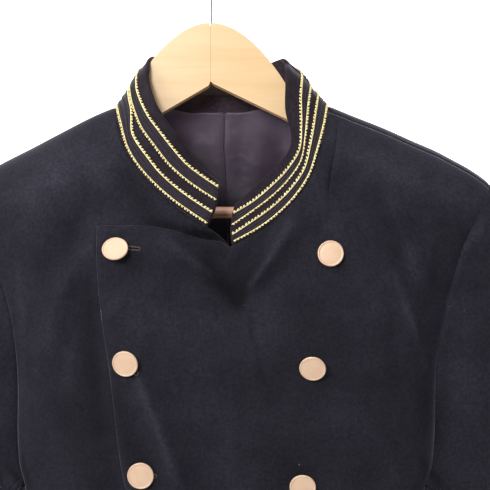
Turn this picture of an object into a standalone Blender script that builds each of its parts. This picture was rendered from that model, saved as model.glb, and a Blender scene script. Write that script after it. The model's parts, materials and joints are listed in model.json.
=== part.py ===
"""A napoleon jacket on its wooden hanger: the cloth pieces, the braided stand collar, the buttons, and the
hanger with its hook, each as its own closed solid."""
import math

import bmesh
import bpy
import numpy as np
from mathutils import Matrix, Vector, geometry

for old in list(bpy.data.objects):
    bpy.data.objects.remove(old)

# ---------------------------------------------------------------- the garment's form, in millimetres
# X runs to the wearer's left, -Y is the front, Z is up. The numbers below are measured from the middle
# of the jacket at the level of its neck point; ORIGIN moves them to the top of the hook.
ORIGIN = np.array([10.2, 0.0, -263.0])
CLOTH = 1.6          # velvet wall
STAND = 2.0          # stiffened collar wall
UNDERLAP = 4.0       # how far the under front lies behind the over front
SEAM = 0.35          # half the gap that parts two pieces at a seam
DROP, REACH = 57.3, 90.0   # how the cloth rolls over the shoulder ridge: depth and length
FULL = 3.0           # fullness of the body's section: 2 is an ellipse
SIDE = 0.92          # where the side seams lie, as a share of the half width

# ridge of the shoulders: across, height (wearer's left), height (wearer's right)
RIDGE = np.array([(0, 162, 162), (60, 134.5, 134), (90, 120.7, 120), (110, 112.3, 111.6), (138.6, 101, 97),
                  (165, 89.2, 83), (181.8, 82, 74.5), (200, 72.5, 65), (211, 66.5, 59), (229.4, 53.6, 48), (245, 40, 36)])
# body by height: height, half width, depth to the front, depth to the back
BODY = np.array([(-510, 190, 64, 60), (-400, 182, 60, 52), (-290, 176, 60, 50), (-195, 182, 68, 58), (-155, 184, 71, 62),
                 (-101, 190, 70, 62), (-30, 217, 60, 55), (20, 240, 52, 48), (60, 262, 44, 42), (100, 285, 32, 34), (165, 300, 26, 30)])
SHRINK_RIGHT = 0.965       # the wearer's right side hangs a little narrower
HEM = -502.0

# soft ridges (+) and troughs (-) pressed into the front: x, z to x, z, half width, height
FRONT_FOLDS = np.array([
    (-64, -101, -52, -126, 9, 4.2), (-52, -126, -33, -198, 12, 5.5), (-33, -198, -12, -330, 16, 5), (-12, -330, 4, -480, 20, 4),
    (-86, -150, -66, -330, 12, -3.0), (-14, -140, 6, -300, 20, -3.4),
    (-44, -2, -8, -28, 8, 4.2), (62, 17, 24, -33, 8, 4.6), (-30, 8, 4, -22, 7, -3.2), (44, 16, 16, -20, 7, -3.4), (4, -26, 12, -62, 13, -4.0),
    (-78, -42, -88, -58, 5, 2.4), (-117, -14, -133, -45, 9, 4.5), (-133, -45, -145, -100, 11, 4.5), (-122, -60, -128, -120, 8, -2.6),
    (151, -39, 163, -88, 9, 4.2), (138, -60, 146, -120, 9, -2.6), (124, 38, 140, -30, 10, 3.0), (154, -6, 168, -34, 9, 3.2),
    (-98, 70, -83, 42, 8, 3.0), (108, 66, 96, 34, 10, -2.4), (-138, 62, -150, -20, 14, 2.8), (-112, 30, -118, -6, 9, -2.2),
    (110, -120, 96, -300, 20, 3.4), (60, -150, 44, -340, 18, -3.0), (26, -150, 34, -400, 18, 3.2), (140, -200, 128, -420, 18, 3.6),
    (-120, -170, -112, -400, 18, 3.6), (-96, -230, -92, -430, 13, -2.8), (84, -260, 86, -460, 16, -2.6)])
# the same for the back
BACK_FOLDS = np.array([
    (-150, 20, -60, -120, 16, 4.0), (150, 24, 66, -104, 16, 4.0), (-120, 60, -30, 40, 12, 2.6), (112, 66, 34, 44, 12, 2.6),
    (-90, -60, -70, -300, 20, -4.0), (96, -70, 62, -290, 20, -3.6), (-40, -150, -52, -420, 18, 3.6), (44, -160, 58, -400, 17, 3.4),
    (-130, -180, -122, -430, 18, 4.0), (132, -210, 120, -410, 18, 3.8), (8, -240, -6, -470, 14, -2.6)])

# neckline seam, wearer's left then right, from the centre front up to the shoulder: x, z
NECK_LEFT = np.array([(6.4, -1.2), (8.8, 0.0), (30.2, 11.4), (46.5, 23.4), (61.0, 38.3), (72.6, 55.8), (79.8, 76.2), (86.6, 99.0), (90.2, 114.6)])
NECK_RIGHT = np.array([(-10.8, 14.4), (-10.9, 14.6), (-26.0, 24.6), (-41.4, 35.7), (-56.0, 48.6), (-69.2, 63.0), (-80.0, 79.9), (-88.0, 101.2), (-91.5, 118.6)])
# edges of the over front, and of the under front hidden by it
FLAP_TOP = [(6.0, -1.4), (1.0, 2.0), (-17.0, 4.9), (-36.5, 11.3), (-57.6, 15.4), (-80.0, 15.9), (-101.0, 15.8)]
FLAP_EDGE = [(-101.0, 15.8), (-99.2, -28), (-95.8, -56), (-91.9, -79), (-89.1, -94), (-85.4, -122), (-78.2, -182), (-75.9, -194), (-72.0, -240), (-68.5, -280), (-65.5, -340), (-63.0, -420), (-62.0, HEM)]
UNDER_TOP = [(-9.8, 14.2), (-3.4, 9.0), (3.6, 2.6), (11.0, -6.0), (84.0, -9.0)]
UNDER_EDGE = [(84.0, -9.0), (80.0, -120), (68.0, -260), (60.0, HEM)]
# front armholes, from the shoulder down: x, z
ARM_LEFT = np.array([(229.4, 53.6), (225.5, 46), (213, 26), (198, -4), (185.5, -45), (179.5, -78), (177.2, -101), (177.0, -130), (177.0, -160), (174.5, -184), (167.3, -198)])
ARM_RIGHT = np.array([(-227.0, 49.0), (-223.5, 42), (-211, 22), (-192, -8), (-179, -36), (-172.0, -61), (-168.0, -92), (-167.4, -122), (-168.6, -152), (-167.2, -181), (-161.4, -197)])
# back armholes
BACK_ARM_LEFT = np.array([(229.4, 53.6), (226, 44), (214, 14), (202, -20), (190, -62), (182, -105), (178, -140), (175.5, -172), (167.3, -198)])
BACK_ARM_RIGHT = np.array([(-227.0, 49.0), (-223, 38), (-209, 8), (-195, -26), (-183, -66), (-175, -106), (-171, -140), (-168.5, -172), (-161.4, -197)])

# rails of the stand collar, from the wearer's right end round the back to the wearer's left end:
# seam x, z; middle x, z; top line of braid x, z; top edge x, z; depth the top edge leans back from the seam
COLLAR = np.array([
    (-10.8, 14.6, -4.1, 30.3, -1.4, 46.7, -1.8, 52.6, 21),
    (-26.0, 24.8, -18.9, 39.8, -15.4, 56.1, -14.6, 63.4, 20),
    (-41.4, 35.9, -33.4, 50.4, -28.9, 66.6, -25.6, 76.0, 18),
    (-56.0, 48.8, -46.9, 62.6, -40.1, 79.4, -35.8, 90.7, 16),
    (-69.2, 63.2, -58.4, 77.4, -51.0, 93.5, -46.3, 105.0, 14),
    (-80.0, 80.1, -69.4, 93.3, -61.8, 108.5, -55.6, 120.6, 11),
    (-88.0, 101.4, -77.4, 114.2, -70.8, 128.0, -61.8, 140.0, 7),
    (-90.6, 115.0, -80.6, 127.6, -72.6, 139.6, -62.2, 150.4, -1),
    (-91.6, 119.3, -81.6, 133.4, -72.8, 146.4, -62.6, 159.2, -6),
    (-83.0, 122.8, -77.5, 138.6, -70.0, 152.8, -60.4, 164.6, 2),
    (-66.0, 121.5, -64.0, 138.0, -59.0, 153.0, -52.6, 163.4, 0),
    (-38.0, 118.0, -37.5, 134.5, -36.0, 150.0, -33.0, 160.0, 0),
    (0.0, 116.2, 0.0, 132.8, 0.0, 148.2, 0.0, 158.2, 0),
    (38.0, 117.8, 37.5, 134.5, 36.0, 150.0, 33.0, 160.0, 0),
    (66.0, 121.0, 63.5, 138.0, 58.0, 153.8, 49.0, 164.0, 1),
    (83.0, 122.6, 76.0, 138.2, 65.8, 152.6, 52.4, 163.4, 3),
    (90.8, 120.0, 78.4, 134.0, 68.2, 147.0, 54.8, 158.0, 3),
    (89.8, 115.2, 77.4, 127.6, 67.6, 139.6, 54.8, 150.0, 3),
    (86.6, 99.2, 74.6, 110.8, 66.4, 124.6, 53.6, 136.0, 9),
    (79.8, 76.4, 71.6, 87.4, 66.8, 101.2, 53.2, 113.4, 19),
    (72.6, 56.0, 67.2, 66.4, 65.4, 80.6, 57.8, 92.6, 24),
    (61.0, 38.5, 55.6, 48.9, 55.0, 63.0, 55.2, 78.4, 25),
    (46.5, 23.6, 41.0, 34.8, 41.0, 48.4, 42.4, 64.2, 25),
    (30.2, 11.6, 24.6, 22.8, 25.8, 35.7, 27.8, 49.6, 25),
    (8.8, 0.2, 7.4, 10.6, 8.4, 25.2, 10.8, 34.2, 24)])
BACK_ROWS = (9, 15)                # the rows between which the seam lies behind the ridge
SLANT = 42.0                       # height of the collar along its slope
LEVELS = np.array([0.0, 0.39, 0.755, 1.0])
CORDS = (0.048, 0.277, 0.507, 0.755)   # the four gold cords, as shares of the collar's height

# sleeves, by distance below the shoulder point: height, centre x, centre y, half width, half depth
SLEEVE = np.array([(-256, 249, -3, 62, 49), (-300, 252, -5, 60, 47), (-350, 256, -9, 59, 45), (-400, 260, -14, 57, 42), (-480, 265, -24, 54, 39), (-553, 269, -32, 52, 37)])
CUFF = -553.0

# button columns on the over front: x, z, tilt across, tilt up (degrees)
BUTTONS = np.array([(-84.3, -7.0, -2, 24), (-73.4, -91.8, 4, -19), (-62.6, -181.2, -6, 2), (-55.3, -277.0, 2, -3),
                    (88.1, -7.2, 4, -2), (73.5, -93.5, 12, -28), (65.3, -190.0, 0, -8), (56.0, -281.0, 3, 2)])
BUTTON_R = 10.5


def smooth(at, xs, ys):
    """A smooth curve through a table's points."""
    at, xs, ys = np.asarray(at, float), np.asarray(xs, float), np.asarray(ys, float)
    if xs[0] > xs[-1]:
        xs, ys = xs[::-1], ys[::-1]
    slope = np.gradient(ys, xs)
    i = np.clip(np.searchsorted(xs, at) - 1, 0, len(xs) - 2)
    step = xs[i + 1] - xs[i]
    t = np.clip((at - xs[i]) / step, 0, 1)
    return (ys[i] * (1 + 2 * t) * (1 - t) ** 2 + slope[i] * step * t * (1 - t) ** 2
            + ys[i + 1] * t * t * (3 - 2 * t) + slope[i + 1] * step * t * t * (t - 1))


def ease(t):
    t = np.clip(t, 0, 1)
    return t * t * (3 - 2 * t)


def ridge(x):
    a = np.abs(x)
    return np.where(np.asarray(x) >= 0, smooth(a, RIDGE[:, 0], RIDGE[:, 1]), smooth(a, RIDGE[:, 0], RIDGE[:, 2]))


def run_of(x, z):
    """How far along the cloth from the ridge a point of the front lies."""
    h = np.maximum(ridge(x) - z, 0)
    return np.where(h < DROP, REACH * 2 / np.pi * np.arccos(1 - np.minimum(h, DROP) / DROP), REACH + h - DROP)


def half_width(x, z):
    return smooth(z, BODY[:, 0], BODY[:, 1]) * np.where(np.asarray(x) < 0, SHRINK_RIGHT, 1.0)


def folded(x, z, folds):
    total = np.zeros_like(np.asarray(x, float))
    for x0, z0, x1, z1, wide, high in folds:
        dx, dz = x1 - x0, z1 - z0
        long = math.hypot(dx, dz)
        t = ((x - x0) * dx + (z - z0) * dz) / long ** 2
        off = ((x - x0) * dz - (z - z0) * dx) / long
        past = np.maximum(np.maximum(-t, t - 1), 0) * long
        along = ease((t + 0.15) / 0.45) * ease((1.15 - t) / 0.45)
        total += high * np.exp(-(off / wide) ** 2 - (past / (1.6 * wide)) ** 2) * (0.25 + 0.75 * along)
    return total


def body(x, run, tuck=0.0):
    """A point of the body's cloth: across, and along from the ridge (front > 0, back < 0)."""
    x, run = np.asarray(x, float), np.asarray(run, float)
    a = np.abs(run)
    turn = np.pi * np.minimum(a, REACH) / (2 * REACH)
    z = ridge(x) - np.where(a < REACH, DROP * (1 - np.cos(turn)), DROP + a - REACH)
    share = np.minimum(np.abs(x) / half_width(x, z), 0.999)
    round_ = (1 - share ** FULL) ** (1 / FULL) * np.sin(turn)
    front = -smooth(z, BODY[:, 0], BODY[:, 2]) * round_ - folded(x, z, FRONT_FOLDS) * np.sin(turn) * ease((0.97 - share) / 0.2)
    back = smooth(z, BODY[:, 0], BODY[:, 3]) * round_ + folded(x, z, BACK_FOLDS) * np.sin(turn) * ease((0.97 - share) / 0.2)
    y = np.where(run >= 0, front, back)
    return np.stack([x, y + tuck, z], -1)


def gape(x, z, deep, centre, wide):
    """How far the two fronts stand apart along the over front's top edge."""
    top = np.interp(x, [u for u, _ in FLAP_TOP[::-1]], [v for _, v in FLAP_TOP[::-1]])
    return deep * np.exp(-((z - top - centre) / wide) ** 2) * ease((x + 66) / 34) * ease((7 - x) / 12)


def over_front(x, run):
    """The over front; its top edge stands a little proud of the under front."""
    p = body(x, run)
    p[..., 1] -= gape(x, p[..., 2], 2.6, 0.0, 12.0)
    return p


def under_front(x, run):
    """The under front dips behind the over front and comes level beyond its edge."""
    z = body(x, run)[..., 2]
    edge = np.interp(-z, [-v for _, v in FLAP_EDGE], [u for u, _ in FLAP_EDGE])
    return body(x, run, UNDERLAP * ease((x - edge + 42) / 40) * ease((95 - z) / 70) + gape(x, z, 6.0, -5.0, 10.0))


def side_ring(turn, z, left):
    """The side panel: turn -1 at the front seam, 0 at the side, 1 at the back seam."""
    turn, z = np.asarray(turn, float), np.asarray(z, float)
    sign = 1.0 if left else -1.0
    w = half_width(sign, z)
    most = math.acos(SIDE ** (FULL / 2))
    angle = np.sign(turn) * np.abs(turn) ** 1.3 * most
    deep = np.where(turn < 0, smooth(z, BODY[:, 0], BODY[:, 2]), smooth(z, BODY[:, 0], BODY[:, 3]))
    return np.stack([sign * w * np.cos(angle) ** (2 / FULL), deep * np.sign(angle) * np.abs(np.sin(angle)) ** (2 / FULL), z], -1)


def along(line, count):
    """Points at even steps along a line of points."""
    line = np.asarray(line, float)
    at = np.r_[0, np.cumsum(np.linalg.norm(np.diff(line, axis=0), axis=1))]
    return np.stack([np.interp(np.linspace(0, at[-1], count), at, line[:, k]) for k in range(line.shape[1])], -1)


def arm_loop(left, count=200):
    """The armhole as a loop: top, down the front, under the arm, up the back."""
    front, back = (ARM_LEFT, BACK_ARM_LEFT) if left else (ARM_RIGHT, BACK_ARM_RIGHT)
    fx, bx = along(front, 60), along(back, 60)
    f = body(fx[:, 0], run_of(fx[:, 0], fx[:, 1]))
    b = body(bx[:, 0], -run_of(bx[:, 0], bx[:, 1]))
    under = side_ring(np.linspace(-1, 1, 25)[1:-1], underarm(np.linspace(-1, 1, 25)[1:-1], left), left)
    mid = len(under) // 2
    first = along(np.vstack([f, under[:mid + 1]]), count // 2 + 1)
    second = along(np.vstack([under[mid:], b[::-1]]), count // 2 + 1)
    return np.vstack([first, second[1:]])


def underarm(turn, left):
    return (-198.0 if left else -197.0) - 12 * (1 - np.asarray(turn) ** 2)


def sleeve(angle, t, left):
    """angle 0 at the top of the arm, a quarter turn at the front; t 0 at the armhole, 1 at the cuff."""
    angle, t = np.asarray(angle, float), np.asarray(t, float)
    sign = 1.0 if left else -1.0
    loop = arm_loop(left)
    n = len(loop) - 1
    k = np.mod(angle, 2 * np.pi) / (2 * np.pi) * n
    start = np.stack([np.interp(k, np.arange(n + 1), loop[:, c]) for c in range(3)], -1)
    start[..., 0] += sign * 1.5
    top = SLEEVE[0, 0]
    split = 0.36
    low = top + (CUFF - top) * np.clip((t - split) / (1 - split), 0, 1)

    def ring(z):
        cx, cy, rx, ry = (smooth(z, SLEEVE[:, 0], SLEEVE[:, c]) for c in (1, 2, 3, 4))
        bend = 1 + 0.05 * np.cos(2 * angle)
        return np.stack([sign * (cx - (0 if left else 6) + rx * bend * np.cos(angle)), cy - ry * np.sin(angle), z], -1)

    end = ring(np.full_like(low, top))
    u = np.clip(t / split, 0, 1)[..., None]
    up = 0.5 + 0.5 * np.cos(angle)          # 1 over the shoulder, 0 under the arm
    near = np.stack([sign * (26 + 130 * up), -np.sin(angle) * 34, -12 - 20 * up + 0 * up], -1)
    far = np.stack([0 * up, 0 * up, -(70 + 260 * up)], -1)
    cap = (start * (1 + 2 * u) * (1 - u) ** 2 + near * u * (1 - u) ** 2
           + end * u * u * (3 - 2 * u) + far * u * u * (u - 1))
    return np.where((t < split)[..., None], cap, ring(low))


def collar_seam():
    """How deep the collar's seam lies at each row of its table: on the body's neckline."""
    x, z = COLLAR[:, 0], np.minimum(COLLAR[:, 1], ridge(COLLAR[:, 0]))
    row = np.arange(len(COLLAR))
    deep = body(x, np.where((row >= BACK_ROWS[0]) & (row <= BACK_ROWS[1]), -1, 1) * run_of(x, z))[:, 1]
    deep[[BACK_ROWS[0] - 1, BACK_ROWS[1] + 1]] = 0.5
    return deep


SEAM_DEPTH = []


def collar(s, v):
    """The stand collar: s from 0 to 1 along it, v from 0 at the seam to 1 at the top edge."""
    s, v = np.asarray(s, float), np.asarray(v, float)
    if not SEAM_DEPTH:
        SEAM_DEPTH.append(collar_seam())
    seam_y, lean = SEAM_DEPTH[0], COLLAR[:, 8]
    i = s * (len(COLLAR) - 1)
    rows = np.arange(len(COLLAR))
    rails = []
    for k in range(4):
        rails.append(np.stack([smooth(i, rows, COLLAR[:, 2 * k]),
                               smooth(i, rows, seam_y + lean * LEVELS[k] ** 1.15),
                               smooth(i, rows, COLLAR[:, 2 * k + 1])], -1))
    slopes = [(rails[1] - rails[0]) / LEVELS[1]]
    slopes += [(rails[k + 1] - rails[k - 1]) / (LEVELS[k + 1] - LEVELS[k - 1]) for k in (1, 2)]
    slopes.append((rails[3] - rails[2]) / (LEVELS[3] - LEVELS[2]))
    j = np.clip(np.searchsorted(LEVELS, v, side="right") - 1, 0, 2)
    R, M = np.stack(rails), np.stack(slopes)
    R, M = np.broadcast_to(R, (4,) + np.broadcast(s, v).shape + (3,)), np.broadcast_to(M, (4,) + np.broadcast(s, v).shape + (3,))
    j = np.broadcast_to(j, np.broadcast(s, v).shape)
    pick = lambda A, j: np.take_along_axis(A, j[None, ..., None].repeat(3, -1), 0)[0]
    step = (LEVELS[j + 1] - LEVELS[j])[..., None]
    t = np.clip((v - LEVELS[j]) / (LEVELS[j + 1] - LEVELS[j]), -0.2, 1)[..., None]
    return (pick(R, j) * (1 + 2 * t) * (1 - t) ** 2 + pick(M, j) * step * t * (1 - t) ** 2
            + pick(R, j + 1) * t * t * (3 - 2 * t) + pick(M, j + 1) * step * t * t * (t - 1))


def lifted(surface, u, v, off, flip=1.0, step=(0.5, 0.5)):
    """The surface's points moved out along its own normal."""
    u, v = np.asarray(u, float), np.asarray(v, float)
    p = surface(u, v)
    du = surface(u + step[0], v) - surface(u - step[0], v)
    dv = surface(u, v + step[1]) - surface(u, v - step[1])
    n = np.cross(dv, du)
    n /= np.maximum(np.linalg.norm(n, axis=-1, keepdims=True), 1e-9)
    return p + n * flip * np.asarray(off, float)[..., None] if np.ndim(off) else p + n * flip * off


# ---------------------------------------------------------------- looks and builders
# colour, roughness, metallic
LOOKS = {"velvet": ((0.045, 0.040, 0.050), 0.85, 0.0), "lining": ((0.090, 0.060, 0.110), 0.40, 0.0), "braid": ((0.550, 0.430, 0.200), 0.50, 0.5),
         "label_cloth": ((0.050, 0.045, 0.055), 0.80, 0.0), "button_metal": ((0.980, 0.850, 0.660), 0.35, 0.9),
         "wood": ((0.930, 0.750, 0.480), 0.45, 0.0), "steel": ((0.600, 0.600, 0.600), 0.30, 1.0)}


def frame_at(name, place, parent=None):
    """An empty that pieces hang from."""
    made = bpy.data.objects.new(name, None)
    made.parent = parent
    made.location = Vector(place) / 1000.0
    bpy.context.scene.collection.objects.link(made)
    return made


HANGING = frame_at("hanging", (0, 0, 0))             # the hook's inside top
JACKET = frame_at("jacket", ORIGIN, HANGING)         # the jacket's middle at its neck point
HANGER = frame_at("hanger", ORIGIN, HANGING)         # the same point on the hanger that holds it


def looks(name, kind):
    colour, rough, metal = LOOKS[kind]
    made = bpy.data.materials.new(name + "_" + kind)
    made.use_nodes = True
    surface = made.node_tree.nodes["Principled BSDF"]
    surface.inputs["Base Color"].default_value = (*colour, 1.0)
    surface.inputs["Roughness"].default_value = rough
    surface.inputs["Metallic"].default_value = metal
    return made


def piece(name, data, kind, parent=JACKET, sharp=40):
    """An object of this mesh or curve, with its material, under its empty."""
    data.materials.append(looks(name, kind))
    if isinstance(data, bpy.types.Mesh):
        data.shade_smooth()
        data.set_sharp_from_angle(angle=math.radians(sharp))
    made = bpy.data.objects.new(name, data)
    made.parent = parent
    bpy.context.scene.collection.objects.link(made)
    return made


def solid(name, points, faces, kind="velvet", parent=JACKET):
    """One closed body of these points (mm) and faces, facing out."""
    mesh = bpy.data.meshes.new(name)
    mesh.from_pydata([tuple(np.asarray(p) / 1000.0) for p in points], [], [tuple(int(i) for i in f) for f in faces])
    shape = bmesh.new()
    shape.from_mesh(mesh)
    bmesh.ops.recalc_face_normals(shape, faces=shape.faces)
    if shape.calc_volume(signed=True) < 0:
        bmesh.ops.reverse_faces(shape, faces=shape.faces)
    shape.to_mesh(mesh)
    shape.free()
    return piece(name, mesh, kind, parent)


def inside(points, loop):
    found = np.zeros(len(points), bool)
    x, y = points[:, 0], points[:, 1]
    for (ax, ay), (bx, by) in zip(loop, np.roll(loop, -1, axis=0)):
        cross = (ay > y) != (by > y)
        if by != ay:
            found ^= cross & (x < (bx - ax) * (y - ay) / (by - ay) + ax)
    return found


def from_edge(points, loop):
    best = np.full(len(points), 1e9)
    for a, b in zip(loop, np.roll(loop, -1, axis=0)):
        d = b - a
        t = np.clip(((points - a) @ d) / max(d @ d, 1e-9), 0, 1)
        best = np.minimum(best, np.linalg.norm(points - a - t[:, None] * d, axis=1))
    return best


def evened(loop, gap):
    """The loop with no step longer than gap, its own corners kept."""
    out = []
    for a, b in zip(loop, np.roll(loop, -1, axis=0)):
        n = max(1, int(math.ceil(np.linalg.norm(b - a) / gap)))
        out += [a + (b - a) * k / n for k in range(n)]
    return np.array(out)


def lattice(gap, extra):
    """Evenly spread points over the whole pattern plane, the same for every layer; extra points push theirs aside."""
    rows, step = range(-40, 41), gap * 0.866
    grid = np.array([(gap * (k + 0.5 * (j % 2)), step * j) for j in rows for k in range(-20, 21)])
    if len(extra):
        near = np.min(np.linalg.norm(grid[:, None] - extra[None], axis=2), axis=1)
        grid = np.vstack([extra, grid[near > gap * 0.6]])
    return grid


def cut(loop, gap, extra=()):
    """The flat pattern inside a loop as triangles: points, faces and the loop's own indices."""
    loop = evened(np.array(loop, float), gap)
    grid = lattice(gap, np.array(extra))
    grid = grid[inside(grid, loop)]
    grid = grid[from_edge(grid, loop) > gap * 0.45]
    points = np.vstack([loop, grid])
    n = len(loop)
    made, _, faces, first, _, _ = geometry.delaunay_2d_cdt([Vector(p) for p in points], [(i, (i + 1) % n) for i in range(n)], [], 1, 1e-5)
    where = {old: new for new, olds in enumerate(first) for old in olds}
    return np.array([tuple(v) for v in made]), np.array(faces), [where[i] for i in range(n)]


def panel(name, loop, surface, gap, wall, flip=1.0, start=0.0, step=(0.5, 0.5), extra=(), kind="velvet"):
    """A cut piece of cloth: its pattern laid on the form, with a wall behind it."""
    flat, faces, rim = cut(loop, gap, extra)
    outer = lifted(surface, flat[:, 0], flat[:, 1], start, flip, step)
    inner = lifted(surface, flat[:, 0], flat[:, 1], start - wall, flip, step)
    n = len(flat)
    sides = [(a, b, b + n, a + n) for a, b in zip(rim, rim[1:] + rim[:1])]
    return solid(name, np.vstack([outer, inner]), [tuple(f) for f in faces] + [tuple(f[::-1] + n) for f in faces] + sides, kind)


def patch(name, surface, us, vs, wall, flip=1.0, start=0.0, step=(0.5, 0.5), level=None, kind="velvet"):
    """A four-sided piece of cloth on a grid."""
    u, v = np.meshgrid(us, vs, indexing="ij")
    if level is not None:
        v = level(u, v)
    outer = lifted(surface, u.ravel(), v.ravel(), start, flip, step)
    inner = lifted(surface, u.ravel(), v.ravel(), start - wall, flip, step)
    a, b = u.shape
    at = np.arange(a * b).reshape(a, b)
    quads = [(at[i, j], at[i + 1, j], at[i + 1, j + 1], at[i, j + 1]) for i in range(a - 1) for j in range(b - 1)]
    faces = []
    for q in quads:
        faces += [(q[0], q[1], q[2]), (q[0], q[2], q[3])]
    n = a * b
    rim = list(at[:, 0]) + list(at[-1, 1:]) + list(at[-2::-1, -1]) + list(at[0, -2:0:-1])
    sides = [(p, q, q + n, p + n) for p, q in zip(rim, rim[1:] + rim[:1])]
    return solid(name, np.vstack([outer, inner]), faces + [tuple(i + n for i in f[::-1]) for f in faces] + sides, kind)


def swept(name, rings, kind, parent=JACKET):
    """Rings of points joined into one body with flat ends."""
    rings = np.array(rings)
    a, b = rings.shape[:2]
    at = np.arange(a * b).reshape(a, b)
    faces = [(at[i, j], at[i, (j + 1) % b], at[i + 1, (j + 1) % b], at[i + 1, j]) for i in range(a - 1) for j in range(b)]
    faces = [f for q in faces for f in ((q[0], q[1], q[2]), (q[0], q[2], q[3]))]
    return solid(name, rings.reshape(-1, 3), faces + [tuple(at[0][::-1]), tuple(at[-1])], kind, parent)


def moved(line, by):
    """A line of points shifted sideways within its plane."""
    line = np.asarray(line, float)
    d = np.gradient(line, axis=0)
    d /= np.maximum(np.linalg.norm(d, axis=1, keepdims=True), 1e-9)
    return line + np.stack([d[:, 1], -d[:, 0]], 1) * by


def laid(line):
    """Front-view points as points of the cloth: across and along from the ridge."""
    line = np.asarray(line, float)
    return np.stack([line[:, 0], run_of(line[:, 0], line[:, 1])], 1)


# ---------------------------------------------------------------- the cloth pieces
SHOULDER = {True: 28.0, False: 0.0}      # how far in front of the ridge each shoulder seam lies
GAP = 23.0                              # spacing of the solids' points


def fold_points(folds, sign):
    """Points along the stronger folds, on the crest and at its feet, so that the facets follow them."""
    found = []
    for x0, z0, x1, z1, wide, high in folds:
        if abs(high) < 3.5:
            continue
        d = np.array([x1 - x0, z1 - z0]) / math.hypot(x1 - x0, z1 - z0)
        for t in (0.1, 0.5, 0.9):
            p = np.array([x0 + (x1 - x0) * t, z0 + (z1 - z0) * t])
            for off in (-1.5, 0, 1.5):
                q = p + np.array([-d[1], d[0]]) * off * wide
                q = np.array([q[0], sign * float(run_of(q[0], q[1]))])
                if not found or min(np.linalg.norm(q - f) for f in found) > 9.5:
                    found.append(q)
    return found


def side_line(left, ends, count=12):
    sign = 1 if left else -1
    z = np.linspace(ends[0], ends[1], count)
    return np.stack([sign * (SIDE * half_width(sign, z) - SEAM), z], 1)


def clear_of(points, others):
    return [p for p in points if min(math.hypot(p[0] - a, p[1] - b) for a, b in others) > 12]


def hem_line(first, last, level=HEM, count=9):
    """Points of a hem from one x to another, at one height."""
    return [(x, level) for x in np.linspace(first, last, count)[1:-1]]


def at_least(points, run):
    points[:, 1] = np.maximum(points[:, 1], run)
    return points


def front(name, left):
    if left:
        opening = [FLAP_EDGE[::-1], FLAP_TOP[::-1][1:], moved(NECK_LEFT, 1.7)[1:]]
        arm, neck_x, arm_x, surface = ARM_LEFT, 92.0, 226.6, over_front
    else:
        opening = [UNDER_EDGE[::-1], UNDER_TOP[::-1][1:], moved(NECK_RIGHT, -1.5)[2:]]
        arm, neck_x, arm_x, surface = ARM_RIGHT, -93.4, -227.0, under_front
    run = SHOULDER[left] + SEAM
    loop = [laid(np.vstack(opening))]
    loop[0][-1, 1] = max(loop[0][-1, 1], run)
    loop.append([(neck_x + (arm_x - neck_x) * k / 6, run) for k in range(7)])
    loop.append(at_least(laid(arm[1:-1]), run + 4))
    loop.append(laid(side_line(left, (arm[-1, 1] - 0.3, HEM))))
    loop.append(laid(hem_line(loop[-1][-1][0], opening[0][0][0], count=13)))
    buttons = [(x, float(run_of(x, z))) for x, z in BUTTONS[:, :2]]
    return panel(name, np.vstack(loop), surface, GAP, CLOTH, extra=buttons + clear_of(fold_points(FRONT_FOLDS, 1), buttons))


def back(name, left):
    sign = 1 if left else -1
    rows = COLLAR[12:16] if left else COLLAR[12:8:-1]
    neck = np.stack([rows[:, 0], np.minimum(rows[:, 1], ridge(rows[:, 0])) - 1.6], 1)
    neck[0, 0] = sign * SEAM
    arm = BACK_ARM_LEFT if left else BACK_ARM_RIGHT
    turned = lambda line: laid(line) * (1, -1)
    run = SHOULDER[left] - SEAM
    loop = [turned(neck), [(sign * 92.6, -7.0)]]
    if left:
        loop.append([(92.6, 4.0), (92.2, 17.0)])
    across = 226.6 if left else arm[0, 0]
    loop.append([(sign * 92.6 + (across - sign * 92.6) * k / 6, run) for k in range(7)])
    if left:
        loop.append([(227.8, 14.0), (229.2, 2.0)])
    lower = turned(arm[1:-1])
    lower[:, 1] = np.minimum(lower[:, 1], -4)
    loop.append(lower)
    loop.append(turned(side_line(left, (arm[-1, 1] - 0.3, HEM))))
    loop.append(turned(hem_line(loop[-1][-1][0], sign * SEAM)))
    loop.append([(sign * SEAM, -run_of(0.0, HEM)), (sign * SEAM, -run_of(0.0, -200.0))])
    return panel(name, np.vstack(loop), body, GAP + 5, CLOTH)


def side(name, left):
    level = lambda u, v: underarm(u, left) - 0.8 + (HEM - underarm(u, left) + 0.8) * v
    return patch(name, lambda u, v: side_ring(u, v, left), np.linspace(-0.993, 0.993, 7), np.linspace(0, 1, 10), CLOTH,
                 -1.0 if left else 1.0, 0.0, (0.01, 0.5), level)


def sleeve_piece(name, left, first, last, count):
    t = np.r_[np.linspace(0, 0.36, 8), np.linspace(0.36, 1, 8)[1:]]
    return patch(name, lambda u, v: sleeve(u, v, left), np.linspace(first + 0.004, last - 0.004, count), t, CLOTH,
                 -1.0 if left else 1.0, 0.0, (0.01, 0.002))


front("front_left", True)
front("front_right", False)
back("back_left", True)
back("back_right", False)
UNDER_SEAM = math.radians(150)
for left, word in ((True, "left"), (False, "right")):
    side("side_" + word, left)
    sleeve_piece("sleeve_top_" + word, left, -UNDER_SEAM, UNDER_SEAM, 22)
    sleeve_piece("sleeve_under_" + word, left, UNDER_SEAM, 2 * math.pi - UNDER_SEAM, 5)

# ---------------------------------------------------------------- the collar, its braid, label and lining
STEPS = 54
ROUND_NECK = np.linspace(0, 1, STEPS)
patch("collar", collar, ROUND_NECK, np.array([0.0, CORDS[0], CORDS[1], CORDS[2], CORDS[3], 1.0]), STAND, 1.0, 0.0, (0.002, 0.02))


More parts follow.
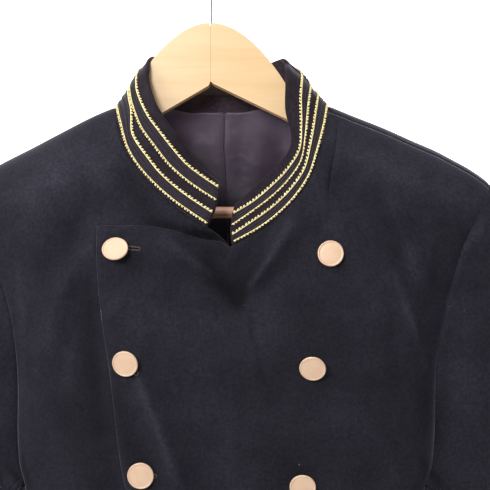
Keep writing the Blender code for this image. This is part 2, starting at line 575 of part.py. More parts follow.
def tape(name, low, high):
    """A flat tape with a gold cord along each edge, laid on the collar."""
    r = 0.026
    shape = [(low - 0.02, 0.6), (high + 0.02, 0.6), (high + r, 1.3), (high + 0.008, 2.3), (high - 0.012, 2.2), (high - r, 1.15),
             (low + r, 1.15), (low + 0.012, 2.2), (low - 0.008, 2.3), (low - r, 1.3)]
    s = np.clip(ROUND_NECK, 0.004, 0.996)
    return swept(name, np.stack([lifted(collar, s, np.full_like(s, v), off, 1.0, (0.002, 0.02)) for v, off in shape], 1), "braid")


tape("braid_lower", CORDS[0], CORDS[1])
tape("braid_upper", CORDS[2], CORDS[3])
patch("label", collar, np.linspace(0.463, 0.515, 5), np.array([0.41, 0.62, 0.84]), 0.5, 1.0, -STAND - 0.4, (0.002, 0.02), kind="label_cloth")

LINING = 1.0
lining_top = [(-88, 117.4), (-66, 120.0), (-38, 117.2), (0, 115.6), (38, 117.0), (66, 119.6), (88, 116.8)]
lining_loop = [laid(lining_top)[:, :] * (1, -1)]
lining_loop.append([(150, -30), (200, -30)])
for left in (True, False):
    arm = BACK_ARM_LEFT[2:-1] if left else BACK_ARM_RIGHT[2:-1]
    sign = 1 if left else -1
    run_side = side_line(left, (-202, HEM + 14))
    run_side[:, 0] -= sign * 5
    line = np.vstack([np.column_stack([arm[:, 0] - sign * 9, arm[:, 1]]), run_side, hem_line(run_side[-1, 0], 0.0, HEM + 14, 7)])
    line = laid(line) * (1, -1)
    lining_loop.append(line if left else line[::-1])
lining_loop.append([(-198, -30), (-150, -30)])
panel("lining_back", np.vstack(lining_loop), body, GAP + 5, LINING, 1.0, -CLOTH - 4.0, kind="lining")


# ---------------------------------------------------------------- the buttons
BUTTON_SIDES = 16


def button(name, row):
    """A flat disc with a thin raised rim on a short shank, turned about its own axis and set on the cloth."""
    x, z, across, up = row
    run = float(run_of(x, z))
    spot = body(x, run)
    normal = lifted(body, x, run, 1.0) - spot
    u = np.cross((0, 0, 1.0), -normal)
    u /= np.linalg.norm(u)
    w = np.cross(normal, u)
    w = w if w[2] > 0 else -w
    a, b = math.radians(across), math.radians(up)
    face = normal + u * math.tan(a) + w * math.tan(b)
    face /= np.linalg.norm(face)
    right = u - face * (u @ face)
    right /= np.linalg.norm(right)
    top = np.cross(face, right)
    lean = math.sin(math.hypot(a, b))
    foot, stand = 0.8 + 2.0 * lean, 2.3 + BUTTON_R * lean
    shape = [(0.0, foot), (2.0, foot), (2.4, stand), (BUTTON_R - 0.7, stand), (BUTTON_R, stand + 1.0), (BUTTON_R - 0.7, stand + 2.0),
             (BUTTON_R - 1.8, stand + 1.75), (0.0, stand + 2.1)]
    turned = bmesh.new()
    points = [turned.verts.new((r / 1000, 0, h / 1000)) for r, h in shape]
    edges = [turned.edges.new(pair) for pair in zip(points, points[1:])]
    bmesh.ops.spin(turned, geom=points + edges, axis=(0, 0, 1), cent=(0, 0, 0), steps=BUTTON_SIDES, angle=2 * math.pi)
    bmesh.ops.remove_doubles(turned, verts=turned.verts, dist=1e-5)
    bmesh.ops.triangulate(turned, faces=turned.faces)
    bmesh.ops.recalc_face_normals(turned, faces=turned.faces)
    mesh = bpy.data.meshes.new(name)
    turned.to_mesh(mesh)
    turned.free()
    made = piece(name, mesh, "button_metal")
    made.location = Vector(spot) / 1000
    made.rotation_euler = Matrix([right, top, face]).transposed().to_euler()
    return made


for k, row in enumerate(BUTTONS):
    button("button_%d" % (k + 1), row)

# ---------------------------------------------------------------- the hanger, its bar and hook
BOARD = 12.0
HX = -10.2                      # the hanger hangs a little off the jacket's middle
CROWN = 188.5
SLOPE = {1: 0.485, -1: 0.583}   # how steeply the board's lower edge falls on each side of its peak
PEAK = (HX + 1.6, 141.2)


def board_top(x):
    a = np.abs(x - HX)
    dome = CROWN - 31.5 * (a / 48.6) ** 1.92 - np.where(x < HX, 0.2, 0.0) * np.maximum(a - 48, 0) ** 2
    return np.maximum(dome, ridge(x) - 7.3)


def board_under(x, sign):
    a = abs(x - HX)
    cut = lambda x: PEAK[1] - SLOPE[1 if x > PEAK[0] else -1] * abs(x - PEAK[0])
    if a <= 70:
        return cut(x)
    depth = float(board_top(HX + sign * 70)) - cut(HX + sign * 70)
    return float(board_top(x)) - depth - (30 - depth) * min((a - 70) / 60, 1)


def hanger_half(name, sign):
    end = sign * 213.0
    xs = np.r_[np.linspace(HX + sign * 0.15, HX + sign * 74, 13), np.linspace(HX + sign * 90, end - sign * 4, 8)]
    top = [(x, float(board_top(x))) for x in xs] + [(end, float(board_top(end)) - 5)]
    under = [(end, 24.0), (end - sign * 5, 19.0), (end - sign * 19, 19.0), (end - sign * 21, 36.0)]
    under += [(x, board_under(x, sign)) for x in np.linspace(end - sign * 30, HX + sign * 70, 6)]
    under += [(x, board_under(x, sign)) for x in (HX + sign * 34, PEAK[0], HX + sign * 0.15)[::1 if sign > 0 else 2]]
    loop = np.array(top + under)
    n = len(loop)
    centre = loop.mean(0)
    inset = []
    for k in range(n):
        before, here, after = loop[k - 1], loop[k], loop[(k + 1) % n]
        d = (after - before) / np.linalg.norm(after - before)
        normal = np.array([d[1], -d[0]]) * sign
        inset.append(here - normal * (0.0 if abs(here[0] - HX) < 1 else 1.5))
    inset = np.array(inset)
    rings = [[(x, y, z) for x, z in ring] for ring, y in ((inset, -BOARD / 2), (loop, -BOARD / 2 + 1.5), (loop, BOARD / 2 - 1.5), (inset, BOARD / 2))]
    return swept(name, rings, "wood", HANGER)


hanger_half("hanger_left", 1)
hanger_half("hanger_right", -1)


bar = bmesh.new()
bmesh.ops.create_cone(bar, cap_ends=True, segments=14, radius1=0.005, radius2=0.005, depth=0.3834)
mesh = bpy.data.meshes.new("hanger_bar")
bar.to_mesh(mesh)
bar.free()
made = piece("hanger_bar", mesh, "wood", HANGER)
made.location = (0, 0, 0.028)
made.rotation_euler = (0, math.pi / 2, 0)

WIRE, LOOP = 1.5, 22.0
CENTRE = 263.0 + WIRE - LOOP
path = [(HX, CROWN + 0.4), (HX, 205), (HX, 212.5), (HX + 0.8, 216.4), (HX + 3.2, 219.6)]
path += [(HX + LOOP * math.cos(math.radians(t)), CENTRE + LOOP * math.sin(math.radians(t))) for t in np.linspace(-68, 200, 19)]
wire = bpy.data.curves.new("hanger_hook", "CURVE")
wire.dimensions = "3D"
wire.bevel_depth = WIRE / 1000
wire.bevel_resolution = 2
wire.use_fill_caps = True
line = wire.splines.new("POLY")
line.points.add(len(path) - 1)
for point, (x, z) in zip(line.points, path):
    point.co = (x / 1000, 0, z / 1000, 1)
piece("hanger_hook", wire, "steel", HANGER)
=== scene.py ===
"""The look of the napoleon jacket on its hanger: fine cloth shells on the same form as the solids, with their
creases, seams, braid, buttons and materials, and the studio round them."""
import json
import math

import bmesh
import bpy
import numpy as np
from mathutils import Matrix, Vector, geometry

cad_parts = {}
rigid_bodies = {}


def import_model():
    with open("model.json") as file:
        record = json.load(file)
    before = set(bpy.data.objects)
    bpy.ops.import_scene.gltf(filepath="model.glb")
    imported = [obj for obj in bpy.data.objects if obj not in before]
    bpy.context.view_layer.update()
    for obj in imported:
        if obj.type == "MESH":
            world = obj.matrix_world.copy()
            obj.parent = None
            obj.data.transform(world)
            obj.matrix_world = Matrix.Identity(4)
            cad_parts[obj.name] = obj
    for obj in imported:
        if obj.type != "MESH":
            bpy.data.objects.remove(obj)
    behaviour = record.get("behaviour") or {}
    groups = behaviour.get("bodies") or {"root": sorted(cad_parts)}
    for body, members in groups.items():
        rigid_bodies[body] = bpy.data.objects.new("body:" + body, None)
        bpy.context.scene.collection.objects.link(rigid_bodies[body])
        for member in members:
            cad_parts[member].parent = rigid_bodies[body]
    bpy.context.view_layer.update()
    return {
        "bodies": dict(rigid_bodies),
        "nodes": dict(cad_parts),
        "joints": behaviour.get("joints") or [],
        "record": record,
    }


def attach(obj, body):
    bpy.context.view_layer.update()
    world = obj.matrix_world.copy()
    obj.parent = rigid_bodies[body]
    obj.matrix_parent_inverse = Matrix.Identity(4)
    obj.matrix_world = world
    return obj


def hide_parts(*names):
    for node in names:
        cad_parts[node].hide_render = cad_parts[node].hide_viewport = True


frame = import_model()

# ---------------------------------------------------------------- the garment's form, in millimetres
# X runs to the wearer's left, -Y is the front, Z is up. The numbers below are measured from the middle
# of the jacket at the level of its neck point; ORIGIN moves them to the top of the hook.
ORIGIN = np.array([10.2, 0.0, -263.0])
CLOTH = 1.6          # velvet wall
STAND = 2.0          # stiffened collar wall
UNDERLAP = 2.7       # how far the under front lies behind the over front
DROP, REACH = 57.3, 90.0   # how the cloth rolls over the shoulder ridge: depth and length
FULL = 3.0           # fullness of the body's section: 2 is an ellipse
SIDE = 0.92          # where the side seams lie, as a share of the half width

# ridge of the shoulders: across, height (wearer's left), height (wearer's right)
RIDGE = np.array([(0, 162, 162), (60, 134.5, 134), (90, 120.7, 120), (110, 112.3, 111.6), (138.6, 101, 97),
                  (165, 89.2, 83), (181.8, 82, 74.5), (200, 72.5, 65), (211, 66.5, 59), (229.4, 53.6, 48),
                  (245, 40, 36)])
# body by height: height, half width, depth to the front, depth to the back
BODY = np.array([(-510, 190, 64, 60), (-400, 182, 60, 52), (-290, 176, 60, 50), (-195, 182, 68, 58),
                 (-155, 184, 71, 62),
                 (-101, 190, 70, 62), (-30, 217, 60, 55), (20, 240, 52, 48), (60, 262, 44, 42),
                 (100, 285, 32, 34), (165, 300, 26, 30)])
SHRINK_RIGHT = 0.965       # the wearer's right side hangs a little narrower
HEM = -502.0

# soft ridges (+) and troughs (-) pressed into the front: x, z to x, z, half width, height
FRONT_FOLDS = np.array([
    (-64, -101, -52, -126, 9, 4.2), (-52, -126, -33, -198, 12, 5.5), (-33, -198, -12, -330, 16, 5),
    (-12, -330, 4, -480, 20, 4), (-86, -150, -66, -330, 12, -3.0), (-14, -140, 6, -300, 20, -3.4),
    (-44, -2, -8, -28, 8, 4.2), (62, 17, 24, -33, 8, 4.6), (-30, 8, 4, -22, 7, -3.2),
    (44, 16, 16, -20, 7, -3.4), (4, -26, 12, -62, 13, -4.0), (-78, -42, -88, -58, 5, 2.4),
    (-117, -14, -133, -45, 9, 4.5), (-133, -45, -145, -100, 11, 4.5), (-122, -60, -128, -120, 8, -2.6),
    (151, -39, 163, -88, 9, 4.2), (138, -60, 146, -120, 9, -2.6), (124, 38, 140, -30, 10, 3.0),
    (154, -6, 168, -34, 9, 3.2), (-98, 70, -83, 42, 8, 3.0), (108, 66, 96, 34, 10, -2.4),
    (-138, 62, -150, -20, 14, 2.8), (-112, 30, -118, -6, 9, -2.2), (110, -120, 96, -300, 20, 3.4),
    (60, -150, 44, -340, 18, -3.0), (26, -150, 34, -400, 18, 3.2), (140, -200, 128, -420, 18, 3.6),
    (-120, -170, -112, -400, 18, 3.6), (-96, -230, -92, -430, 13, -2.8), (84, -260, 86, -460, 16, -2.6)])
# the same for the back
BACK_FOLDS = np.array([
    (-150, 20, -60, -120, 16, 4.0), (150, 24, 66, -104, 16, 4.0), (-120, 60, -30, 40, 12, 2.6),
    (112, 66, 34, 44, 12, 2.6), (-90, -60, -70, -300, 20, -4.0), (96, -70, 62, -290, 20, -3.6),
    (-40, -150, -52, -420, 18, 3.6), (44, -160, 58, -400, 17, 3.4), (-130, -180, -122, -430, 18, 4.0),
    (132, -210, 120, -410, 18, 3.8), (8, -240, -6, -470, 14, -2.6)])

# neckline seam, wearer's left then right, from the centre front up to the shoulder: x, z
NECK_LEFT = np.array([(6.4, -1.2), (8.8, 0.0), (30.2, 11.4), (46.5, 23.4), (61.0, 38.3), (72.6, 55.8),
                      (79.8, 76.2), (86.6, 99.0), (90.2, 114.6)])
NECK_RIGHT = np.array([(-10.8, 14.4), (-10.9, 14.6), (-26.0, 24.6), (-41.4, 35.7), (-56.0, 48.6),
                       (-69.2, 63.0), (-80.0, 79.9), (-88.0, 101.2), (-91.5, 118.6)])
# edges of the over front, and of the under front hidden by it
FLAP_TOP = [(6.0, -1.4), (1.0, 2.0), (-17.0, 4.9), (-36.5, 11.3), (-57.6, 15.4), (-80.0, 15.9),
            (-101.0, 15.8)]
FLAP_EDGE = [(-101.0, 15.8), (-99.2, -28), (-95.8, -56), (-91.9, -79), (-89.1, -94), (-85.4, -122),
             (-78.2, -182), (-75.9, -194), (-72.0, -240), (-68.5, -280), (-65.5, -340), (-63.0, -420),
             (-62.0, HEM)]
UNDER_TOP = [(-9.8, 14.2), (-3.4, 9.0), (3.6, 2.6), (11.0, -6.0), (84.0, -9.0)]
UNDER_EDGE = [(84.0, -9.0), (80.0, -120), (68.0, -260), (60.0, HEM)]
# front armholes, from the shoulder down: x, z
ARM_LEFT = np.array([(229.4, 53.6), (225.5, 46), (213, 26), (198, -4), (185.5, -45), (179.5, -78),
                     (177.2, -101), (177.0, -130), (177.0, -160), (174.5, -184), (167.3, -198)])
ARM_RIGHT = np.array([(-227.0, 49.0), (-223.5, 42), (-211, 22), (-192, -8), (-179, -36), (-172.0, -61),
                      (-168.0, -92), (-167.4, -122), (-168.6, -152), (-167.2, -181), (-161.4, -197)])
# back armholes
BACK_ARM_LEFT = np.array([(229.4, 53.6), (226, 44), (214, 14), (202, -20), (190, -62), (182, -105),
                          (178, -140), (175.5, -172), (167.3, -198)])
BACK_ARM_RIGHT = np.array([(-227.0, 49.0), (-223, 38), (-209, 8), (-195, -26), (-183, -66), (-175, -106),
                           (-171, -140), (-168.5, -172), (-161.4, -197)])

# rails of the stand collar, from the wearer's right end round the back to the wearer's left end:
# seam x, z; middle x, z; top line of braid x, z; top edge x, z; depth the top edge leans back from the seam
COLLAR = np.array([
    (-10.8, 14.6, -4.1, 30.3, -1.4, 46.7, -1.8, 52.6, 21),
    (-26.0, 24.8, -18.9, 39.8, -15.4, 56.1, -14.6, 63.4, 20),
    (-41.4, 35.9, -33.4, 50.4, -28.9, 66.6, -25.6, 76.0, 18),
    (-56.0, 48.8, -46.9, 62.6, -40.1, 79.4, -35.8, 90.7, 16),
    (-69.2, 63.2, -58.4, 77.4, -51.0, 93.5, -46.3, 105.0, 14),
    (-80.0, 80.1, -69.4, 93.3, -61.8, 108.5, -55.6, 120.6, 11),
    (-88.0, 101.4, -77.4, 114.2, -70.8, 128.0, -61.8, 140.0, 7),
    (-90.6, 115.0, -80.6, 127.6, -72.6, 139.6, -62.2, 150.4, -1),
    (-91.6, 119.3, -81.6, 133.4, -72.8, 146.4, -62.6, 159.2, -6),
    (-83.0, 122.8, -77.5, 138.6, -70.0, 152.8, -60.4, 164.6, 2),
    (-66.0, 121.5, -64.0, 138.0, -59.0, 153.0, -52.6, 163.4, 0),
    (-38.0, 118.0, -37.5, 134.5, -36.0, 150.0, -33.0, 160.0, 0),
    (0.0, 116.2, 0.0, 132.8, 0.0, 148.2, 0.0, 158.2, 0),
    (38.0, 117.8, 37.5, 134.5, 36.0, 150.0, 33.0, 160.0, 0),
    (66.0, 121.0, 63.5, 138.0, 58.0, 153.8, 49.0, 164.0, 1),
    (83.0, 122.6, 76.0, 138.2, 65.8, 152.6, 52.4, 163.4, 3),
    (90.8, 120.0, 78.4, 134.0, 68.2, 147.0, 54.8, 158.0, 3),
    (89.8, 115.2, 77.4, 127.6, 67.6, 139.6, 54.8, 150.0, 3),
    (86.6, 99.2, 74.6, 110.8, 66.4, 124.6, 53.6, 136.0, 9),
    (79.8, 76.4, 71.6, 87.4, 66.8, 101.2, 53.2, 113.4, 19),
    (72.6, 56.0, 67.2, 66.4, 65.4, 80.6, 57.8, 92.6, 24),
    (61.0, 38.5, 55.6, 48.9, 55.0, 63.0, 55.2, 78.4, 25),
    (46.5, 23.6, 41.0, 34.8, 41.0, 48.4, 42.4, 64.2, 25),
    (30.2, 11.6, 24.6, 22.8, 25.8, 35.7, 27.8, 49.6, 25),
    (8.8, 0.2, 7.4, 10.6, 8.4, 25.2, 10.8, 34.2, 24)])
BACK_ROWS = (9, 15)                # the rows between which the seam lies behind the ridge
LEVELS = np.array([0.0, 0.39, 0.755, 1.0])
CORDS = (0.048, 0.277, 0.507, 0.755)   # the four gold cords, as shares of the collar's height

# sleeves, by distance below the shoulder point: height, centre x, centre y, half width, half depth
SLEEVE = np.array([(-256, 249, -3, 62, 49), (-300, 252, -5, 60, 47), (-350, 256, -9, 59, 45),
                   (-400, 260, -14, 57, 42), (-480, 265, -24, 54, 39), (-553, 269, -32, 52, 37)])
CUFF = -553.0
CAP = 0.36           # where the sleeve's cap goes over into its tube, as a share of its length
ARM_GAP = 0.35       # how far the sleeve's top stands off the armhole

# button columns on the over front: x, z, tilt across, tilt up (degrees)
BUTTONS = np.array([(-84.3, -7.0, -2, 24), (-73.4, -91.8, 4, -19), (-62.6, -181.2, -6, 2),
                    (-55.3, -277.0, 2, -3),
                    (88.1, -7.2, 4, -2), (73.5, -93.5, 12, -28), (65.3, -190.0, 0, -8),
                    (56.0, -281.0, 3, 2)])
BUTTON_R = 10.5
# worked buttonholes on the over front: x, z, angle (degrees)
BUTTONHOLES = [(-72.5, -2.6, -6), (-71.5, -98.5, -26), (-57.5, -182.0, -3), (-47.5, -278.0, 0)]


def smooth(at, xs, ys):
    """A smooth curve through a table's points."""
    at, xs, ys = np.asarray(at, float), np.asarray(xs, float), np.asarray(ys, float)
    if xs[0] > xs[-1]:
        xs, ys = xs[::-1], ys[::-1]
    slope = np.gradient(ys, xs)
    i = np.clip(np.searchsorted(xs, at) - 1, 0, len(xs) - 2)
    step = xs[i + 1] - xs[i]
    t = np.clip((at - xs[i]) / step, 0, 1)
    return (ys[i] * (1 + 2 * t) * (1 - t) ** 2 + slope[i] * step * t * (1 - t) ** 2
            + ys[i + 1] * t * t * (3 - 2 * t) + slope[i + 1] * step * t * t * (t - 1))


def ease(t):
    t = np.clip(t, 0, 1)
    return t * t * (3 - 2 * t)


def ridge(x):
    a = np.abs(x)
    return np.where(np.asarray(x) >= 0, smooth(a, RIDGE[:, 0], RIDGE[:, 1]),
                    smooth(a, RIDGE[:, 0], RIDGE[:, 2]))


def run_of(x, z):
    """How far along the cloth from the ridge a point of the front lies."""
    h = np.maximum(ridge(x) - z, 0)
    return np.where(h < DROP, REACH * 2 / np.pi * np.arccos(1 - np.minimum(h, DROP) / DROP),
                    REACH + h - DROP)


def half_width(x, z):
    return smooth(z, BODY[:, 0], BODY[:, 1]) * np.where(np.asarray(x) < 0, SHRINK_RIGHT, 1.0)


def folded(x, z, folds):
    total = np.zeros_like(np.asarray(x, float))
    for x0, z0, x1, z1, wide, high in folds:
        dx, dz = x1 - x0, z1 - z0
        long = math.hypot(dx, dz)
        t = ((x - x0) * dx + (z - z0) * dz) / long ** 2
        off = ((x - x0) * dz - (z - z0) * dx) / long
        past = np.maximum(np.maximum(-t, t - 1), 0) * long
        along = ease((t + 0.15) / 0.45) * ease((1.15 - t) / 0.45)
        total += high * np.exp(-(off / wide) ** 2 - (past / (1.6 * wide)) ** 2) * (0.25 + 0.75 * along)
    return total


def body(x, run, tuck=0.0):
    """A point of the body's cloth: across, and along from the ridge (front > 0, back < 0)."""
    x, run = np.asarray(x, float), np.asarray(run, float)
    a = np.abs(run)
    turn = np.pi * np.minimum(a, REACH) / (2 * REACH)
    z = ridge(x) - np.where(a < REACH, DROP * (1 - np.cos(turn)), DROP + a - REACH)
    share = np.minimum(np.abs(x) / half_width(x, z), 0.999)
    round_ = (1 - share ** FULL) ** (1 / FULL) * np.sin(turn)
    rise, inner = np.sin(turn), ease((0.97 - share) / 0.2)      # folds fade at the ridge and the sides
    front = -smooth(z, BODY[:, 0], BODY[:, 2]) * round_ - folded(x, z, FRONT_FOLDS) * rise * inner
    back = smooth(z, BODY[:, 0], BODY[:, 3]) * round_ + folded(x, z, BACK_FOLDS) * rise * inner
    y = np.where(run >= 0, front, back)
    return np.stack([x, y + tuck, z], -1)


def gape(x, z, deep, centre, wide):
    """How far the two fronts stand apart along the over front's top edge."""
    top = np.interp(x, [u for u, _ in FLAP_TOP[::-1]], [v for _, v in FLAP_TOP[::-1]])
    return deep * np.exp(-((z - top - centre) / wide) ** 2) * ease((x + 66) / 34) * ease((7 - x) / 12)


def over_front(x, run):
    """The over front; its top edge stands a little proud of the under front."""
    p = body(x, run)
    p[..., 1] -= gape(x, p[..., 2], 2.6, 0.0, 12.0)
    return p


def under_front(x, run):
    """The under front dips behind the over front and comes level beyond its edge."""
    z = body(x, run)[..., 2]
    edge = np.interp(-z, [-v for _, v in FLAP_EDGE], [u for u, _ in FLAP_EDGE])
    return body(x, run,
                UNDERLAP * ease((x - edge + 42) / 40) * ease((95 - z) / 70) + gape(x, z, 6.0, -5.0, 10.0))


def side_ring(turn, z, left):
    """The side panel: turn -1 at the front seam, 0 at the side, 1 at the back seam."""
    turn, z = np.asarray(turn, float), np.asarray(z, float)
    sign = 1.0 if left else -1.0
    w = half_width(sign, z)
    most = math.acos(SIDE ** (FULL / 2))
    angle = np.sign(turn) * np.abs(turn) ** 1.3 * most
    deep = np.where(turn < 0, smooth(z, BODY[:, 0], BODY[:, 2]), smooth(z, BODY[:, 0], BODY[:, 3]))
    return np.stack([sign * w * np.cos(angle) ** (2 / FULL),
                     deep * np.sign(angle) * np.abs(np.sin(angle)) ** (2 / FULL), z], -1)


def along(line, count):
    """Points at even steps along a line of points."""
    line = np.asarray(line, float)
    at = np.r_[0, np.cumsum(np.linalg.norm(np.diff(line, axis=0), axis=1))]
    steps = np.linspace(0, at[-1], count)
    return np.stack([np.interp(steps, at, line[:, k]) for k in range(line.shape[1])], -1)


def arm_loop(left, count=200):
    """The armhole as a loop: top, down the front, under the arm, up the back."""
    front, back = (ARM_LEFT, BACK_ARM_LEFT) if left else (ARM_RIGHT, BACK_ARM_RIGHT)
    fx, bx = along(front, 60), along(back, 60)
    f = body(fx[:, 0], run_of(fx[:, 0], fx[:, 1]))
    b = body(bx[:, 0], -run_of(bx[:, 0], bx[:, 1]))
    under = side_ring(np.linspace(-1, 1, 25)[1:-1], underarm(np.linspace(-1, 1, 25)[1:-1], left), left)
    mid = len(under) // 2
    first = along(np.vstack([f, under[:mid + 1]]), count // 2 + 1)
    second = along(np.vstack([under[mid:], b[::-1]]), count // 2 + 1)
    return np.vstack([first, second[1:]])


def underarm(turn, left):
    return (-198.0 if left else -197.0) - 12 * (1 - np.asarray(turn) ** 2)


def sleeve(angle, t, left):
    """angle 0 at the top of the arm, a quarter turn at the front; t 0 at the armhole, 1 at the cuff."""
    angle, t = np.asarray(angle, float), np.asarray(t, float)
    sign = 1.0 if left else -1.0
    loop = arm_loop(left)
    n = len(loop) - 1
    k = np.mod(angle, 2 * np.pi) / (2 * np.pi) * n
    start = np.stack([np.interp(k, np.arange(n + 1), loop[:, c]) for c in range(3)], -1)
    start[..., 0] += sign * ARM_GAP
    top = SLEEVE[0, 0]
    low = top + (CUFF - top) * np.clip((t - CAP) / (1 - CAP), 0, 1)

    def ring(z):
        cx, cy, rx, ry = (smooth(z, SLEEVE[:, 0], SLEEVE[:, c]) for c in (1, 2, 3, 4))
        bend = 1 + 0.05 * np.cos(2 * angle)
        return np.stack([sign * (cx - (0 if left else 6) + rx * bend * np.cos(angle)),
                         cy - ry * np.sin(angle), z], -1)

    end = ring(np.full_like(low, top))
    u = np.clip(t / CAP, 0, 1)[..., None]
    up = 0.5 + 0.5 * np.cos(angle)          # 1 over the shoulder, 0 under the arm
    near = np.stack([sign * (26 + 130 * up), -np.sin(angle) * 34, -12 - 20 * up], -1)
    far = np.stack([0 * up, 0 * up, -(70 + 260 * up)], -1)
    cap = (start * (1 + 2 * u) * (1 - u) ** 2 + near * u * (1 - u) ** 2
           + end * u * u * (3 - 2 * u) + far * u * u * (u - 1))
    return np.where((t < CAP)[..., None], cap, ring(low))


def collar_seam():
    """How deep the collar's seam lies at each row of its table: on the body's neckline."""
    x, z = COLLAR[:, 0], np.minimum(COLLAR[:, 1], ridge(COLLAR[:, 0]))
    row = np.arange(len(COLLAR))
    deep = body(x, np.where((row >= BACK_ROWS[0]) & (row <= BACK_ROWS[1]), -1, 1) * run_of(x, z))[:, 1]
    deep[[BACK_ROWS[0] - 1, BACK_ROWS[1] + 1]] = 0.5
    return deep


SEAM_DEPTH = []


def collar(s, v):
    """The stand collar: s from 0 to 1 along it, v from 0 at the seam to 1 at the top edge."""
    s, v = np.asarray(s, float), np.asarray(v, float)
    if not SEAM_DEPTH:
        SEAM_DEPTH.append(collar_seam())
    seam_y, lean = SEAM_DEPTH[0], COLLAR[:, 8]
    i = s * (len(COLLAR) - 1)
    rows = np.arange(len(COLLAR))
    rails = []
    for k in range(4):
        rails.append(np.stack([smooth(i, rows, COLLAR[:, 2 * k]),
                               smooth(i, rows, seam_y + lean * LEVELS[k] ** 1.15),
                               smooth(i, rows, COLLAR[:, 2 * k + 1])], -1))
    slopes = [(rails[1] - rails[0]) / LEVELS[1]]
    slopes += [(rails[k + 1] - rails[k - 1]) / (LEVELS[k + 1] - LEVELS[k - 1]) for k in (1, 2)]
    slopes.append((rails[3] - rails[2]) / (LEVELS[3] - LEVELS[2]))
    j = np.clip(np.searchsorted(LEVELS, v, side="right") - 1, 0, 2)
    shape = np.broadcast(s, v).shape
    R = np.broadcast_to(np.stack(rails), (4,) + shape + (3,))
    M = np.broadcast_to(np.stack(slopes), (4,) + shape + (3,))
    j = np.broadcast_to(j, shape)
    pick = lambda A, j: np.take_along_axis(A, j[None, ..., None].repeat(3, -1), 0)[0]
    step = (LEVELS[j + 1] - LEVELS[j])[..., None]
    t = np.clip((v - LEVELS[j]) / (LEVELS[j + 1] - LEVELS[j]), -0.2, 1)[..., None]
    return (pick(R, j) * (1 + 2 * t) * (1 - t) ** 2 + pick(M, j) * step * t * (1 - t) ** 2
            + pick(R, j + 1) * t * t * (3 - 2 * t) + pick(M, j + 1) * step * t * t * (t - 1))


def lifted(surface, u, v, off, flip=1.0, step=(0.5, 0.5)):
    """The surface's points moved out along its own normal."""
    u, v = np.asarray(u, float), np.asarray(v, float)
    p = surface(u, v)
    du = surface(u + step[0], v) - surface(u - step[0], v)
    dv = surface(u, v + step[1]) - surface(u, v - step[1])
    n = np.cross(dv, du)
    n /= np.maximum(np.linalg.norm(n, axis=-1, keepdims=True), 1e-9)
    return p + n * flip * np.asarray(off, float)[..., None] if np.ndim(off) else p + n * flip * off


# ---------------------------------------------------------------- builders
BODY_NAME = "root"


def to_row(points):
    return (np.asarray(points, float).reshape(-1, 3) + ORIGIN) / 1000.0


def piece(name, points, faces, look, slot, replaces=(), uv=None, angle=None):
    """A finished piece of the scene: riding on the body and standing for its CAD nodes."""
    mesh = bpy.data.meshes.new(name)
    mesh.from_pydata(to_row(points).tolist(), [], [tuple(int(i) for i in f) for f in faces])
    mesh.validate()
    shape = bmesh.new()
    shape.from_mesh(mesh)
    bmesh.ops.recalc_face_normals(shape, faces=shape.faces)
    if shape.calc_volume(signed=True) < 0:
        bmesh.ops.reverse_faces(shape, faces=shape.faces)
    shape.to_mesh(mesh)
    shape.free()
    if uv is not None and len(uv) == len(mesh.vertices):
        layer = mesh.uv_layers.new(name="flat")
        corner = np.empty(len(mesh.loops), np.int32)
        mesh.loops.foreach_get("vertex_index", corner)
        layer.data.foreach_set("uv", np.asarray(uv, np.float32)[corner].ravel())
    mesh.shade_smooth()
    if angle is not None:
        mesh.set_sharp_from_angle(angle=math.radians(angle))
    made = bpy.data.objects.new(name, mesh)
    bpy.context.scene.collection.objects.link(made)
    mesh.materials.append(look)
    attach(made, BODY_NAME)
    if replaces:
        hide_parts(*replaces)
    return made


def joined(parts):
    """Several (points, faces) as one."""
    points, faces, base = [], [], 0
    for p, f in parts:
        p = np.asarray(p, float).reshape(-1, 3)
        points.append(p)
        faces += [tuple(np.asarray(q) + base) for q in f]
        base += len(p)
    return np.vstack(points), faces


def inside(points, loop):
    """Which points lie inside the loop."""
    found = np.zeros(len(points), bool)
    x, y = points[:, 0], points[:, 1]
    for (ax, ay), (bx, by) in zip(loop, np.roll(loop, -1, axis=0)):
        if by != ay:
            found ^= ((ay > y) != (by > y)) & (x < (bx - ax) * (y - ay) / (by - ay) + ax)
    return found


def from_edge(points, loop, which=None):
    """How far each point lies from the loop's edges, or from those that which picks out."""
    best = np.full(len(points), 1e9)
    for k, (a, b) in enumerate(zip(loop, np.roll(loop, -1, axis=0))):
        if which is not None and not which[k]:
            continue
        d = b - a
        t = np.clip(((points - a) @ d) / max(d @ d, 1e-9), 0, 1)
        best = np.minimum(best, np.linalg.norm(points - a - t[:, None] * d, axis=1))
    return best


def from_points(points, others):
    """How far each point lies from the nearest of the others."""
    best = np.full(len(points), 1e9)
    for low in range(0, len(others), 200):
        best = np.minimum(best,
                          np.linalg.norm(points[:, None] - others[None, low:low + 200], axis=2).min(1))
    return best


def thinned(points, gap):
    """Leaves out points that lie closer than the gap to one kept before."""
    cells, kept = {}, []
    for i, (x, y) in enumerate(points):
        column, line = int(x // gap), int(y // gap)
        around = [j for dx in (-1, 0, 1) for dy in (-1, 0, 1)
                  for j in cells.get((column + dx, line + dy), ())]
        if all(math.hypot(x - points[j][0], y - points[j][1]) > gap for j in around):
            cells.setdefault((column, line), []).append(i)
            kept.append(i)
    return points[kept]


def evened(loop, kinds, gap):
    """The loop with points on its edges no farther apart than the gap, each with its edge's kind."""
    out, found = [], []
    for a, b, kind in zip(loop, np.roll(loop, -1, axis=0), kinds):
        n = max(1, int(math.ceil(np.linalg.norm(b - a) / gap)))
        out += [a + (b - a) * k / n for k in range(n)]
        found += [kind] * n
    return np.array(out), np.array(found)


